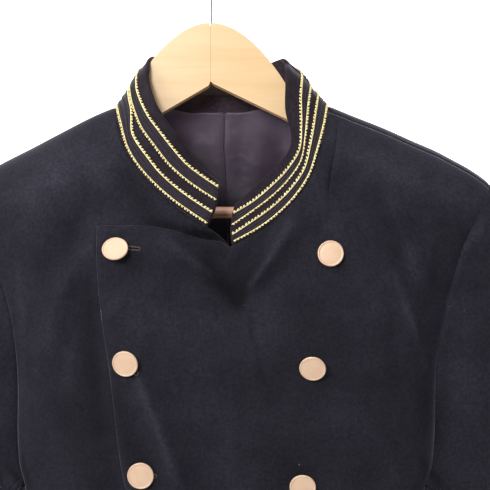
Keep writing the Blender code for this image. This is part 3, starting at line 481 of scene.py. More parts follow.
def rounded(points, spacing=3.0):
    """A smooth line through a table of points, evenly stepped."""
    points = np.asarray(points, float)
    at = np.r_[0, np.cumsum(np.linalg.norm(np.diff(points, axis=0), axis=1))]
    where = np.linspace(0, at[-1], max(2, int(at[-1] / spacing)))
    return np.stack([smooth(where, at, points[:, k]) for k in range(points.shape[1])], 1)


def cut(loop, kinds, gap, rings, extra=None):
    """The flat pattern inside a loop as triangles, with close rows of points along its edges."""
    loop, kinds = evened(np.asarray(loop, float), kinds, gap * 0.8)
    low, high = loop.min(0), loop.max(0)
    area = np.sum(loop[:, 0] * np.roll(loop[:, 1], -1) - np.roll(loop[:, 0], -1) * loop[:, 1])
    d = np.roll(loop, -1, axis=0) - np.roll(loop, 1, axis=0)
    d /= np.maximum(np.linalg.norm(d, axis=1, keepdims=True), 1e-9)
    normal = np.stack([-d[:, 1], d[:, 0]], 1) * (1 if area > 0 else -1)
    near = []
    for r in rings:
        p = loop + normal * r
        p = p[inside(p, loop)]
        near.append(p[from_edge(p, loop) > r * 0.93])
    last = max(rings)
    rows = np.arange(low[1] + gap / 2, high[1], gap * 0.866)
    xs = np.arange(low[0], high[0] + gap, gap)
    grid = np.concatenate([np.stack([xs + (gap / 2 if k % 2 else 0), np.full(len(xs), y)], 1)
                           for k, y in enumerate(rows)])
    grid = grid[inside(grid, loop)]
    grid = grid[from_edge(grid, loop) > last + gap * 0.55]
    if extra is not None:
        extra = extra[inside(extra, loop)]
        extra = thinned(extra[from_edge(extra, loop) > 0.5], 0.3)
        apart = from_points(grid, extra)
        grid = np.vstack([grid[apart > 2.4], extra])
    points = np.vstack([loop] + near + [grid])
    n = len(loop)
    made, _, faces, first, _, _ = geometry.delaunay_2d_cdt(
        [Vector(p) for p in points], [(i, (i + 1) % n) for i in range(n)], [], 1, 1e-5)
    where = {old: new for new, olds in enumerate(first) for old in olds}
    return np.array([tuple(v) for v in made]), np.array(faces), [where[i] for i in range(n)], loop, kinds


SEAM_EDGE, TURNED_EDGE = 0, 1
FAR = 99.0           # so far from an edge that nothing of it shows

# narrower creases than the form's, on the fronts: from x, z to x, z, half width, height
FINE_FOLDS = np.array([
    (-36, -1, -20, -13, 3.6, 1.5), (-20, -13, -4, -27, 3.8, 2.0), (57, 18, 40, -9, 3.6, 1.8),
    (40, -9, 22, -34, 3.8, 2.0), (-25, -19, -4, -42, 5, -1.5), (-4, -42, 9, -55, 5, -0.6),
    (23, -52, 36, -132, 2.6, -0.6), (-66, -104, -51, -140, 4.2, 1.8), (-51, -140, -30, -194, 4.6, 2.2),
    (140, -26, 153, -62, 3.8, 1.6), (153, -62, 167, -101, 3.8, 1.6), (-107, -30, -102, -140, 8.5, -3.6),
    (-70, -112, -58, -150, 5.0, -1.6), (118, 26, 128, -14, 4.0, 1.2), (170, 20, 174, -20, 4.5, 1.2),
    (10, -120, 16, -260, 5.0, 1.1), (56, -12, 34, -42, 6, -1.3), (34, -42, 16, -57, 6, -0.6)])
FRONT_FOLDS = np.vstack([FRONT_FOLDS, FINE_FOLDS])


# Strokes where the pile is painted darker (-) or lighter (+), partly as velvet looks where it lies the other
# way and partly as painted light and shade beside the folds, in the hollows and at the seams: from x, z to x,
# z, half width, amount.
BODY_NAP_AND_PAINTED_SHADING = np.array([
    (-17, -4, 6, -36, 8, -0.22), (33, -10, 15, -38, 6.4, -0.18), (-113, -68, -97, -156, 20.8, -0.23),
    (-41, -32, -37, -44, 12.8, -0.2), (126, -140, 131, -180, 20.8, 0.22),
    (23, -124, 23, -180, 20.8, -0.1), (-57, 18, -25, 12, 2.7, -0.35), (-25, 11, 5, 5, 3.6, -0.45),
    (173, -4, 169, -44, 4, -0.2), (169, -92, 167, -164, 3.2, -0.25), (164, -174, 171, -196, 4, -0.6),
    (-165, -174, -157, -196, 4, -0.6), (63, 108, 87, 102, 6.4, 0.1), (-13, -14, 9, -44, 7.2, -0.42),
    (33, -4, 15, -44, 6.4, -0.36), (13, -18, 14, -49, 9.6, -0.4), (-26, 10, 4, 6, 3.6, -0.6),
    (-105, -32, -97, -148, 6.4, -0.4), (-81, 64, -55, 22, 8.8, -0.32), (89, 84, 87, 23, 4, -0.25),
    (-173, -68, -170, -196, 7.2, -0.35), (-82, -124, -57, -188, 8.8, -0.28),
    (23, -54, 38, -124, 2.4, -0.22), (-81, 4, -57, -44, 7.2, -0.12), (63, -44, 79, -140, 20.8, -0.1),
    (-109, -6, -127, -36, 7.2, 0.42), (-127, -36, -135, -84, 7.2, 0.36), (-161, 44, -87, 86, 20.8, 0.62),
    (103, 84, 211, 39, 19.2, 0.62), (-49, 4, -30, -6, 2.7, 0.3), (-30, -6, -3, -26, 2.6, 0.5),
    (56, 17, 39, -11, 2.6, 0.5), (39, -11, 22, -34, 2.6, 0.5), (-65, -106, -50, -142, 2.9, 0.55),
    (-50, -142, -29, -196, 3.2, 0.6), (141, -25, 154, -64, 2.6, 0.45), (154, -64, 167, -103, 2.6, 0.45),
    (-166, -14, -161, -60, 2.7, 0.35), (-161, -60, -162, -124, 2.7, 0.35), (87, 38, 92, 2, 6.4, 0.28),
    (135, 39, 166, -38, 6.4, 0.3), (-93, -41, -65, -68, 7.2, 0.18), (-25, -140, 33, -188, 20.8, 0.14),
    (-129, -124, -113, -180, 11.2, -0.14), (103, 4, 121, -44, 8, 0.14)])
# strokes of painted light and shade on the sleeves along the armholes: from x, z to x, z, half width, amount
SLEEVE_PAINTED_SHADING = np.array([
    (180, -57, 174, -96, 1.3, 0.5), (174, -96, 173, -140, 1.3, 0.5), (173, -140, 171, -168, 1.3, 0.45),
    (-167, -44, -165, -92, 1.3, 0.4), (-165, -92, -164, -164, 1.3, 0.4),
    (167, -180, 180, -196, 3.2, -0.5), (-175, -183, -164, -196, 3.2, -0.5), (214, 15, 199, -4, 3.2, 0.5),
    (199, -4, 185, -34, 3.2, 0.55), (185, -34, 178, -80, 3.2, 0.5), (178, -80, 176, -140, 2.9, 0.4),
    (199, -44, 195, -180, 11.2, 0.18), (-173, -44, -175, -156, 11.2, 0.25)])


def paint_nap_and_shading(made, points, strokes):
    """Gives each point of a velvet piece how much lighter or darker its pile is painted, for its lie and as
    painted light and shade; the back stays plain.
    """
    total = np.zeros(len(points))
    x, y, z = points.T
    for x0, z0, x1, z1, wide, amount in strokes:
        dx, dz = x1 - x0, z1 - z0
        long = math.hypot(dx, dz)
        t = np.clip(((x - x0) * dx + (z - z0) * dz) / long ** 2, 0, 1)
        away = np.hypot(x - x0 - t * dx, z - z0 - t * dz)
        total += amount * np.exp(-(away / wide) ** 2) * (0.75 + 0.25 * np.sin(np.pi * t))
    total *= ease((6 - y) / 12)
    layer = made.data.attributes.new("nap_and_painted_shading", "FLOAT", "POINT")
    layer.data.foreach_set("value", np.clip(total, -0.75, 1.2).astype(np.float32))


def near_folds():
    """Close points along the narrow creases, so that the mesh follows them."""
    found = []
    for x0, z0, x1, z1, wide, _ in FINE_FOLDS:
        n = int(math.hypot(x1 - x0, z1 - z0) / 2.6) + 1
        line = np.column_stack([np.linspace(x0, x1, n), np.linspace(z0, z1, n)])
        across = np.array([z1 - z0, x0 - x1]) / math.hypot(x1 - x0, z1 - z0)
        found += [laid(line + across * wide * k) for k in (-2, -1.3, -0.7, 0, 0.7, 1.3, 2)]
    return np.vstack(found)


def edge_profile(d_seam, d_turned, wall):
    """How the outer and inner faces fall away towards a piece's edges."""
    r = wall / 2
    near = np.minimum(np.minimum(d_turned / r, d_seam / 0.35), 1)
    tip = r * (1 - np.sqrt(np.clip(1 - (1 - near) ** 2, 0, 1)))
    roll = r * (1 - np.sqrt(np.clip(1 - (1 - np.minimum(d_turned / 2.2, 1)) ** 2, 0, 1)))
    sunk = 0.6 * np.exp(-(d_seam / 1.9) ** 2)
    padded = 0.85 * np.exp(-((d_turned - 3.2) / 2.6) ** 2) * (d_turned < 30)
    outer = -np.maximum(tip, roll) * 0.94 - sunk + padded
    inner = -wall + tip * 0.94 - sunk
    return outer, inner


DART = np.array([(98.0, 104.0), (95.0, 84.0), (90.0, 60.0), (86.6, 32.0)])


def dart_depth(pts):
    """A stitched line sunk a little into the cloth, fading at its lower end."""
    line = rounded(DART, spacing=2.0)
    line = np.stack([line[:, 0], run_of(line[:, 0], line[:, 1])], 1)
    best, t = np.full(len(pts), 1e9), np.zeros(len(pts))
    for k, (a, b) in enumerate(zip(line, line[1:])):
        d = b - a
        s = np.clip(((pts - a) @ d) / (d @ d), 0, 1)
        away = np.linalg.norm(pts - a - s[:, None] * d, axis=1)
        t = np.where(away < best, (k + s) / (len(line) - 1), t)
        best = np.minimum(best, away)
    fade = ease((1 - t) / 0.3) * ease((t + 0.02) / 0.05)
    return (-0.85 * np.exp(-(best / 0.75) ** 2) + 0.4 * np.exp(-((best - 2.6) / 1.7) ** 2)) * fade


def cloth(name, loop, kinds, surface, gap, wall, look, slot, replaces, flip=1.0, start=0.0,
          rings=(0.3, 0.9, 2.2, 4.4), held="hung", rests_on=(), with_pieces=(), extra=None, stitched=True):
    """A piece of cloth: pattern laid on the form, thin wall, rounded edges, sunk seams."""
    pts, faces, rim, edge, kinds = cut(loop, kinds, gap, rings, extra)
    d_seam, d_turned = [np.minimum(from_edge(pts, edge, kinds == kind), FAR)
                        for kind in (SEAM_EDGE, TURNED_EDGE)]
    outer_off, inner_off = edge_profile(d_seam, d_turned, wall)
    if extra is not None and stitched:
        off = dart_depth(pts)
        outer_off, inner_off = outer_off + off, inner_off + off
    outer = lifted(surface, pts[:, 0], pts[:, 1], start + outer_off, flip)
    inner = lifted(surface, pts[:, 0], pts[:, 1], start + inner_off, flip)
    n = len(pts)
    sides = [(a, b, b + n, a + n) for a, b in zip(rim, rim[1:] + rim[:1])]
    made = piece(name, np.vstack([outer, inner]),
                 [tuple(f) for f in faces] + [tuple(f[::-1] + n) for f in faces] + sides, look, slot,
                 replaces, uv=np.vstack([pts, pts]) / 1000.0)
    if slot == "velvet":
        # painted light and shade beside the folds, with the pile's lie, on the velvet
        paint_nap_and_shading(made, np.vstack([outer, inner]), BODY_NAP_AND_PAINTED_SHADING)
    a, b, c = outer[faces[:, 0]], outer[faces[:, 1]], outer[faces[:, 2]]
    area = np.linalg.norm(np.cross(b - a, c - a), axis=1).sum() / 2e6
    span = (pts.max(0) - pts.min(0)) / 1000.0
    declare(made, area, span, held, rests_on, with_pieces)
    return made


SHEETS = []


def declare(made, area, flat, held, rests_on, with_pieces=()):
    w, l = flat
    if area > w * l:
        k = math.sqrt(area / (w * l)) * 1.002
        w, l = w * k, l * k
    SHEETS.append((made, (round(w, 3) + 0.001, round(l, 3) + 0.001), held, list(rests_on), round(area, 4),
                   list(with_pieces)))


def grid_cloth(name, surface, us, vs, wall, look, slot, replaces, flip, start, step, level, edges,
               held="hung", rests_on=()):
    """A four-sided piece of cloth. edges says what each side is: first u, last u, first v, last v."""
    u, v0 = np.meshgrid(us, vs, indexing="ij")
    v = level(u, v0) if level is not None else v0
    middle = surface(u.ravel(), v.ravel()).reshape(u.shape + (3,))
    du = np.r_[np.zeros((1, u.shape[1])),
               np.cumsum(np.linalg.norm(np.diff(middle, axis=0), axis=2), axis=0)]
    dv = np.concatenate([np.zeros((u.shape[0], 1)),
                         np.cumsum(np.linalg.norm(np.diff(middle, axis=1), axis=2), axis=1)], axis=1)
    away = (du, du[-1:] - du, dv, dv[:, -1:] - dv)
    d_seam, d_turned = np.full(u.shape, FAR), np.full(u.shape, FAR)
    for d, kind in zip(away, edges):
        if kind == SEAM_EDGE:
            d_seam = np.minimum(d_seam, d)
        elif kind == TURNED_EDGE:
            d_turned = np.minimum(d_turned, d)
    outer_off, inner_off = edge_profile(d_seam, d_turned, wall)
    outer = lifted(surface, u.ravel(), v.ravel(), (start + outer_off).ravel(), flip, step)
    inner = lifted(surface, u.ravel(), v.ravel(), (start + inner_off).ravel(), flip, step)
    a, b = u.shape
    at = np.arange(a * b).reshape(a, b)
    quads = np.stack([at[:-1, :-1], at[1:, :-1], at[1:, 1:], at[:-1, 1:]], -1).reshape(-1, 4)
    n = a * b
    rim = list(at[:, 0]) + list(at[-1, 1:]) + list(at[-2::-1, -1]) + list(at[0, -2:0:-1])
    sides = [(p, q, q + n, p + n) for p, q in zip(rim, rim[1:] + rim[:1])]
    uv = np.stack([du.ravel(), dv.ravel()], 1) / 1000.0
    made = piece(name, np.vstack([outer, inner]),
                 [tuple(q) for q in quads] + [tuple(q[::-1] + n) for q in quads] + sides, look, slot,
                 replaces, uv=np.vstack([uv, uv]))
    if name.startswith("sleeve"):
        # painted light and shade along the armholes
        paint_nap_and_shading(made, np.vstack([outer, inner]), SLEEVE_PAINTED_SHADING)
    if name == "collar_shell":      # painted lighter inside the back of the neck, which the lamps leave dark
        depth = (inner[:, 1] - inner[:, 1].min()) / np.ptp(inner[:, 1])
        lighter = np.r_[np.zeros(n), 1.9 * ease((depth - 0.62) / 0.2)].astype(np.float32)
        made.data.attributes.new("nap_and_painted_shading", "FLOAT", "POINT").data.foreach_set("value", lighter)
    o = outer.reshape(a, b, 3)
    d1, d2 = o[1:, 1:] - o[:-1, :-1], o[1:, :-1] - o[:-1, 1:]
    area = np.linalg.norm(np.cross(d1, d2), axis=2).sum() / 2e6
    declare(made, area, (du.max() / 1000, dv.max() / 1000), held, rests_on)
    return made


def bunched(first, last, count, edge=(0.0,)):
    """Even steps with a few close ones at both ends, at these distances from them."""
    mid = np.linspace(first, last, count)
    near = [first + e for e in edge] + [last - e for e in edge]
    keep = mid[(mid > first + 1.2 * max(edge)) & (mid < last - 1.2 * max(edge))] if max(edge) else mid[1:-1]
    return np.unique(np.r_[first, near, keep, last])


def walls(at, closed=False):
    """The quads between a grid's rows of points, each row closed on itself."""
    a, b = at.shape
    return [(at[i, j], at[i, (j + 1) % b], at[(i + 1) % a, (j + 1) % b], at[(i + 1) % a, j])
            for i in range(a if closed else a - 1) for j in range(b)]


def tube(path, r, sides, closed=False):
    """(points, faces) of a round thread along a path of points."""
    path = np.asarray(path, float)
    r = np.broadcast_to(np.asarray(r, float), (len(path),))
    d = np.roll(path, -1, axis=0) - np.roll(path, 1, axis=0) if closed else np.gradient(path, axis=0)
    d /= np.maximum(np.linalg.norm(d, axis=1, keepdims=True), 1e-9)
    up = np.array([0, 0, 1.0]) if abs(d[0, 2]) < 0.9 else np.array([0, 1.0, 0])
    normals = []
    n = np.cross(d[0], up)
    n /= np.linalg.norm(n)
    for t in d:
        n = n - t * (n @ t)
        n /= max(np.linalg.norm(n), 1e-9)
        normals.append(n)
    n = np.array(normals)
    b = np.cross(d, n)
    a = np.linspace(0, 2 * np.pi, sides, endpoint=False)
    spokes = n[:, None] * np.cos(a)[None, :, None] + b[:, None] * np.sin(a)[None, :, None]
    rings = path[:, None] + r[:, None, None] * spokes
    at = np.arange(len(path) * sides).reshape(len(path), sides)
    faces = walls(at, closed)
    if not closed:
        faces += [tuple(at[0][::-1]), tuple(at[-1])]
    return rings.reshape(-1, 3), faces


# ---------------------------------------------------------------- materials
def material(name, base, rough=0.6, metal=0.0, **more):
    m = bpy.data.materials.new(name)
    m.use_nodes = True
    tree = m.node_tree
    shader = tree.nodes["Principled BSDF"]
    shader.inputs["Base Color"].default_value = (*base, 1)
    shader.inputs["Roughness"].default_value = rough
    shader.inputs["Metallic"].default_value = metal
    for key, value in more.items():
        shader.inputs[key.replace("_", " ")].default_value = value
    return m, tree, shader


def node(tree, kind, **values):
    made = tree.nodes.new(kind)
    for key, value in values.items():
        if key in made.inputs:
            made.inputs[key].default_value = value
        else:
            setattr(made, key, value)
    return made


def texture(tree, where, kind, **values):
    """A texture node on the object's own coordinates."""
    made = node(tree, "ShaderNodeTex" + kind, **values)
    tree.links.new(where.outputs["Object"], made.inputs["Vector"])
    return made


def ramp(tree, source, stops):
    made = tree.nodes.new("ShaderNodeValToRGB")
    while len(made.color_ramp.elements) < len(stops):
        made.color_ramp.elements.new(0.5)
    for element, (at, colour) in zip(made.color_ramp.elements, stops):
        element.position = at
        element.color = (*colour, 1)
    tree.links.new(source, made.inputs[0])
    return made


def mixed(tree, factor, a, b, kind="MIX"):
    made = tree.nodes.new("ShaderNodeMix")
    made.data_type = "RGBA"
    made.blend_type = kind
    for value, key in ((factor, 0), (a, 6), (b, 7)):
        if hasattr(value, "is_linked"):
            tree.links.new(value, made.inputs[key])
        else:
            made.inputs[key].default_value = (*value, 1) if isinstance(value, tuple) else value
    return made.outputs[2]


def bumped(tree, shader, source, strength, distance, before=None):
    made = node(tree, "ShaderNodeBump", Strength=strength, Distance=distance)
    tree.links.new(source, made.inputs["Height"])
    if before is not None:
        tree.links.new(before, made.inputs["Normal"])
    tree.links.new(made.outputs[0], shader.inputs["Normal"])
    return made.outputs[0]


def velvet_material(name, dark, light, sheen):
    """Velvet: deep colour, crushed patches, the strokes of painted light and shade from the mesh, and a few
    specks of lint.
    """
    m, tree, shader = material(name, dark, 0.92, 0.0, Specular_IOR_Level=0.12, Sheen_Weight=sheen,
                               Sheen_Roughness=0.30, Sheen_Tint=(0.74, 0.66, 0.84, 1))
    where = node(tree, "ShaderNodeTexCoord")
    soft = texture(tree, where, "Noise", Scale=26.0, Detail=4.0, Roughness=0.6)
    fuzz = texture(tree, where, "Noise", Scale=420.0, Detail=3.0, Roughness=0.7)
    broad = ramp(tree, soft.outputs["Fac"], [(0.34, dark), (0.72, light)])
    fine = ramp(tree, fuzz.outputs["Fac"], [(0.35, (0.55, 0.55, 0.55)), (0.7, (1.35, 1.35, 1.35))])
    colour = mixed(tree, 0.75, broad.outputs[0], fine.outputs[0], "MULTIPLY")
    # painted light and shade: the base colour scaled by the mesh's strokes
    nap_and_painted_shading = node(tree, "ShaderNodeAttribute", attribute_name="nap_and_painted_shading")
    more = node(tree, "ShaderNodeMath", operation="ADD")
    more.inputs[1].default_value = 1.0
    tree.links.new(nap_and_painted_shading.outputs["Fac"], more.inputs[0])
    colour = mixed(tree, 1.0, colour, more.outputs[0], "MULTIPLY")
    spots = texture(tree, where, "Voronoi", Scale=72.0, Randomness=1.0)
    few = ramp(tree, spots.outputs["Distance"],
               [(0.0, (1, 1, 1)), (0.034, (0.9, 0.9, 0.9)), (0.046, (0, 0, 0))])
    chosen = texture(tree, where, "Noise", Scale=34.0, Detail=0.0)
    gate = ramp(tree, chosen.outputs["Fac"], [(0.63, (0, 0, 0)), (0.67, (1, 1, 1))])
    both = node(tree, "ShaderNodeMath", operation="MULTIPLY")
    tree.links.new(few.outputs[0], both.inputs[0])
    tree.links.new(gate.outputs[0], both.inputs[1])
    colour = mixed(tree, both.outputs[0], colour, (0.16, 0.15, 0.17))
    tree.links.new(colour, shader.inputs["Base Color"])
    pile = texture(tree, where, "Noise", Scale=900.0, Detail=2.0, Roughness=0.8)
    crush = texture(tree, where, "Noise", Scale=46.0, Detail=5.0, Roughness=0.62)
    first = bumped(tree, shader, crush.outputs["Fac"], 0.09, 0.002)
    bumped(tree, shader, pile.outputs["Fac"], 0.35, 0.0006, first)
    return m


VELVET = velvet_material("velvet", (0.0115, 0.0110, 0.0165), (0.0185, 0.0177, 0.0255), sheen=0.5)
VELVET_COLLAR = velvet_material("velvet_collar", (0.014, 0.0105, 0.0145), (0.023, 0.0175, 0.024), sheen=0.3)


def lining_material():
    m, tree, shader = material("lining", (0.065, 0.048, 0.075), 0.42, 0.0, Specular_IOR_Level=0.4,
                               Sheen_Weight=0.12, Sheen_Roughness=0.3, Sheen_Tint=(0.62, 0.7, 1.0, 1),
                               Anisotropic=0.4)
    where = node(tree, "ShaderNodeTexCoord")
    cloud = texture(tree, where, "Noise", Scale=18.0, Detail=3.0, Roughness=0.5)
    # random patches of painted blue-grey sheen among the purple tones
    tone = ramp(tree, cloud.outputs["Fac"],
                [(0.3, (0.085, 0.058, 0.095)), (0.52, (0.12, 0.088, 0.135)), (0.72, (0.15, 0.155, 0.20))])
    weave = texture(tree, where, "Wave", Scale=420.0, Distortion=0.4, bands_direction="Z")
    thread = ramp(tree, weave.outputs["Fac"], [(0.2, (0.8, 0.8, 0.8)), (0.8, (1.12, 1.12, 1.12))])
    parts = node(tree, "ShaderNodeSeparateXYZ")
    tree.links.new(where.outputs["Object"], parts.inputs[0])
    # painted shade: darker with depth below the neck, as the inside of the jacket looks from the front
    low = node(tree, "ShaderNodeMapRange")
    for key, value in (("From Min", -0.245), ("From Max", -0.142), ("To Min", 0.12), ("To Max", 1.0)):
        low.inputs[key].default_value = value
    tree.links.new(parts.outputs["Z"], low.inputs["Value"])
    cloth_tone = mixed(tree, 0.6, tone.outputs[0], thread.outputs[0], "MULTIPLY")
    tree.links.new(mixed(tree, 1.0, cloth_tone, low.outputs[0], "MULTIPLY"), shader.inputs["Base Color"])
    ripple = texture(tree, where, "Noise", Scale=30.0, Detail=3.0)
    first = bumped(tree, shader, ripple.outputs["Fac"], 0.4, 0.004)
    bumped(tree, shader, weave.outputs["Fac"], 0.25, 0.0002, first)
    return m


LINING_LOOK = lining_material()


def thread_material(name, dark, light, rough, metal, scale, **more):
    m, tree, shader = material(name, light, rough, metal, **more)
    where = node(tree, "ShaderNodeTexCoord")
    fleck = texture(tree, where, "Noise", Scale=scale, Detail=3.0, Roughness=0.7)
    tone = ramp(tree, fleck.outputs["Fac"], [(0.34, dark), (0.62, light)])
    tree.links.new(tone.outputs[0], shader.inputs["Base Color"])
    hair = texture(tree, where, "Noise", Scale=scale * 2.4, Detail=1.0)
    bumped(tree, shader, hair.outputs["Fac"], 0.45, 0.0003)
    return m


GOLD = thread_material("gold_cord", (0.70, 0.52, 0.19), (0.95, 0.86, 0.50), 0.42, 0.1, 500.0)
RIB = thread_material("braid_rib", (0.010, 0.007, 0.011), (0.027, 0.021, 0.031), 0.7, 0.0, 700.0,
                      Sheen_Weight=0.1, Specular_IOR_Level=0.15)
THREAD = thread_material("black_thread", (0.022, 0.014, 0.015), (0.055, 0.034, 0.036), 0.6, 0.0, 800.0,
                         Sheen_Weight=0.1)
LABEL_LOOK = thread_material("label_cloth", (0.012, 0.010, 0.013), (0.03, 0.026, 0.032), 0.5, 0.0, 600.0,
                             Sheen_Weight=0.2)


def button_material():
    m, tree, shader = material("button_metal", (0.7, 0.48, 0.34), 0.5, 0.1, Specular_IOR_Level=0.3)
    where = node(tree, "ShaderNodeTexCoord")
    haze = texture(tree, where, "Noise", Scale=160.0, Detail=4.0, Roughness=0.6)
    tone = ramp(tree, haze.outputs["Fac"], [(0.3, (0.64, 0.43, 0.295)), (0.6, (0.67, 0.47, 0.335))])
    tree.links.new(tone.outputs[0], shader.inputs["Base Color"])
    rough = ramp(tree, haze.outputs["Fac"], [(0.2, (0.34, 0.34, 0.34)), (0.8, (0.52, 0.52, 0.52))])
    tree.links.new(rough.outputs[0], shader.inputs["Roughness"])
    grain = texture(tree, where, "Noise", Scale=900.0, Detail=2.0)
    bumped(tree, shader, grain.outputs["Fac"], 0.08, 0.0002)
    return m


BUTTON_LOOK = button_material()


def wood_material(name, pale, deep):
    m, tree, shader = material(name, pale, 0.42, 0.0, Specular_IOR_Level=0.45, Coat_Weight=0.25,
                               Coat_Roughness=0.25)
    where = node(tree, "ShaderNodeTexCoord")
    turn = node(tree, "ShaderNodeMapping")
    turn.inputs["Scale"].default_value = (3.0, 26.0, 30.0)
    tree.links.new(where.outputs["Object"], turn.inputs["Vector"])
    grain = node(tree, "ShaderNodeTexNoise", Scale=3.2, Detail=6.0, Roughness=0.6, Distortion=0.6)
    tree.links.new(turn.outputs[0], grain.inputs["Vector"])
    tone = ramp(tree, grain.outputs["Fac"],
                [(0.18, deep), (0.6, pale), (0.85, tuple(min(1, c * 1.03) for c in pale))])
    facing = node(tree, "ShaderNodeNewGeometry")
    parts = node(tree, "ShaderNodeSeparateXYZ")
    tree.links.new(facing.outputs["Normal"], parts.inputs[0])
    # painted shade and bounced light: deeper and redder on faces that look down
    under = node(tree, "ShaderNodeMapRange")
    for key, value in (("From Min", -0.15), ("From Max", -0.8), ("To Min", 0.0), ("To Max", 0.8)):
        under.inputs[key].default_value = value
    tree.links.new(parts.outputs["Z"], under.inputs["Value"])
    tree.links.new(mixed(tree, under.outputs[0], tone.outputs[0],
                         (deep[0], deep[1] * 0.62, deep[2] * 0.42)), shader.inputs["Base Color"])
    bumped(tree, shader, grain.outputs["Fac"], 0.1, 0.0008)
    return m


WOOD = wood_material("wood", (0.68, 0.47, 0.255), (0.62, 0.395, 0.185))
BAR_WOOD = wood_material("bar_wood", (0.95, 0.52, 0.34), (0.75, 0.40, 0.25))


def steel_material():
    m, tree, shader = material("steel", (0.42, 0.42, 0.43), 0.28, 1.0)
    where = node(tree, "ShaderNodeTexCoord")
    wear = texture(tree, where, "Noise", Scale=220.0, Detail=3.0)
    tone = ramp(tree, wear.outputs["Fac"], [(0.3, (0.28, 0.28, 0.29)), (0.7, (0.55, 0.55, 0.56))])
    tree.links.new(tone.outputs[0], shader.inputs["Base Color"])
    bumped(tree, shader, wear.outputs["Fac"], 0.1, 0.0002)
    return m


STEEL = steel_material()


# ---------------------------------------------------------------- camera, light and studio
def row(p):
    return tuple((np.asarray(p, float) + ORIGIN) / 1000.0)


camera = bpy.data.objects.new("camera", bpy.data.cameras.new("camera"))
camera.data.sensor_width = 36.0
camera.data.lens = 68.0
camera.location = row((19.4, -800.0, 0.0))
camera.rotation_euler = (math.radians(90), 0, 0)
camera.data.clip_start, camera.data.clip_end = 0.05, 30
bpy.context.scene.collection.objects.link(camera)
bpy.context.scene.camera = camera


def lamp(name, at, aim, size, watts, colour=(1, 1, 1)):
    data = bpy.data.lights.new(name, "AREA")
    data.shape = "RECTANGLE"
    data.size, data.size_y = size
    data.energy = watts
    data.color = colour
    made = bpy.data.objects.new(name, data)
    made.location = row(at)
    made.rotation_euler = (Vector(row(aim)) - Vector(row(at))).to_track_quat("-Z", "Y").to_euler()
    bpy.context.scene.collection.objects.link(made)
    return made


lamp("key_softbox", (-450, -1350, 480), (0, 0, -20), (0.5, 0.5), 16.2, (1.0, 0.99, 0.975))
lamp("left_softbox", (-1300, -650, 760), (0, 0, -40), (0.8, 0.8), 19.0)
lamp("top_softbox", (-100, -650, 1300), (0, 0, -40), (0.8, 0.5), 8.5)
lamp("right_softbox", (1300, -800, 640), (0, 0, -80), (1.0, 1.0), 3.6)
lamp("back_softbox", (0, 1200, 900), (0, 0, -150), (1.6, 1.0), 4.5)
bpy.context.scene.view_settings.view_transform = "Standard"

world = bpy.data.worlds.new("studio")
bpy.context.scene.world = world
world.use_nodes = True
sky = world.node_tree.nodes["Background"]
sky.inputs["Color"].default_value = (1, 1, 1, 1)
path = world.node_tree.nodes.new("ShaderNodeLightPath")
seen = world.node_tree.nodes.new("ShaderNodeMath")
seen.operation = "MULTIPLY_ADD"
seen.inputs[1].default_value, seen.inputs[2].default_value = 0.9, 0.07
world.node_tree.links.new(path.outputs["Is Camera Ray"], seen.inputs[0])
world.node_tree.links.new(seen.outputs[0], sky.inputs["Strength"])


def stage_plane(name, corners, colour, strength):
    mesh = bpy.data.meshes.new(name)
    mesh.from_pydata([row(c) for c in corners], [], [(0, 1, 2, 3)])
    made = bpy.data.objects.new(name, mesh)
    bpy.context.scene.collection.objects.link(made)
    m, tree, shader = material(name, colour, 0.9)
    where = node(tree, "ShaderNodeTexCoord")
    grain = texture(tree, where, "Noise", Scale=3.0, Detail=2.0)
    tone = ramp(tree, grain.outputs["Fac"], [(0.3, tuple(c * 0.985 for c in colour)), (0.7, colour)])
    tree.links.new(tone.outputs[0], shader.inputs["Base Color"])
    shader.inputs["Emission Color"].default_value = (1, 1, 1, 1)
    shader.inputs["Emission Strength"].default_value = strength
    side = node(tree, "ShaderNodeNewGeometry")      # seen from behind, the sheet lets the view through
    clear = node(tree, "ShaderNodeBsdfTransparent")
    both = node(tree, "ShaderNodeMixShader")
    end = next(n for n in tree.nodes if n.type == "OUTPUT_MATERIAL")
    for link, socket in ((side.outputs["Backfacing"], both.inputs[0]), (shader.outputs[0], both.inputs[1]),
                         (clear.outputs[0], both.inputs[2]), (both.outputs[0], end.inputs["Surface"])):
        tree.links.new(link, socket)
    mesh.materials.append(m)
    return made


stage_plane("wall", [(-3000, 420, -1200), (3000, 420, -1200), (3000, 420, 2400), (-3000, 420, 2400)],
            (0.93, 0.93, 0.93), 1.05)
stage_plane("floor", [(-3000, -2600, -1200), (3000, -2600, -1200), (3000, 420, -1200), (-3000, 420, -1200)],
            (0.9, 0.9, 0.9), 0.15)

# ---------------------------------------------------------------- the cloth pieces
SHOULDER = {True: 28.0, False: 0.0}    # the shoulder seam's run from the ridge, by wearer's left or right
NEAR = -0.15                      # half the gap at a seam of the shells; below 0 they run into each other


def moved(line, by):
    """A line moved sideways by a distance, to its right."""
    line = np.asarray(line, float)
    d = np.gradient(line, axis=0)
    d /= np.maximum(np.linalg.norm(d, axis=1, keepdims=True), 1e-9)
    return line + np.stack([d[:, 1], -d[:, 0]], 1) * by


def laid(line):
    """A line given by across and height as one given by across and run along the cloth."""
    line = np.asarray(line, float)
    return np.stack([line[:, 0], run_of(line[:, 0], line[:, 1])], 1)


def laid_back(line):
    """The same for the back, where the run is below 0."""
    return laid(line) * (1, -1)


def side_line(left, ends, count=110):
    """The front or back edge at the side seam, between two heights."""
    sign = 1 if left else -1
    z = np.linspace(ends[0], ends[1], count)
    return np.stack([sign * (SIDE * half_width(sign, z) - NEAR), z], 1)


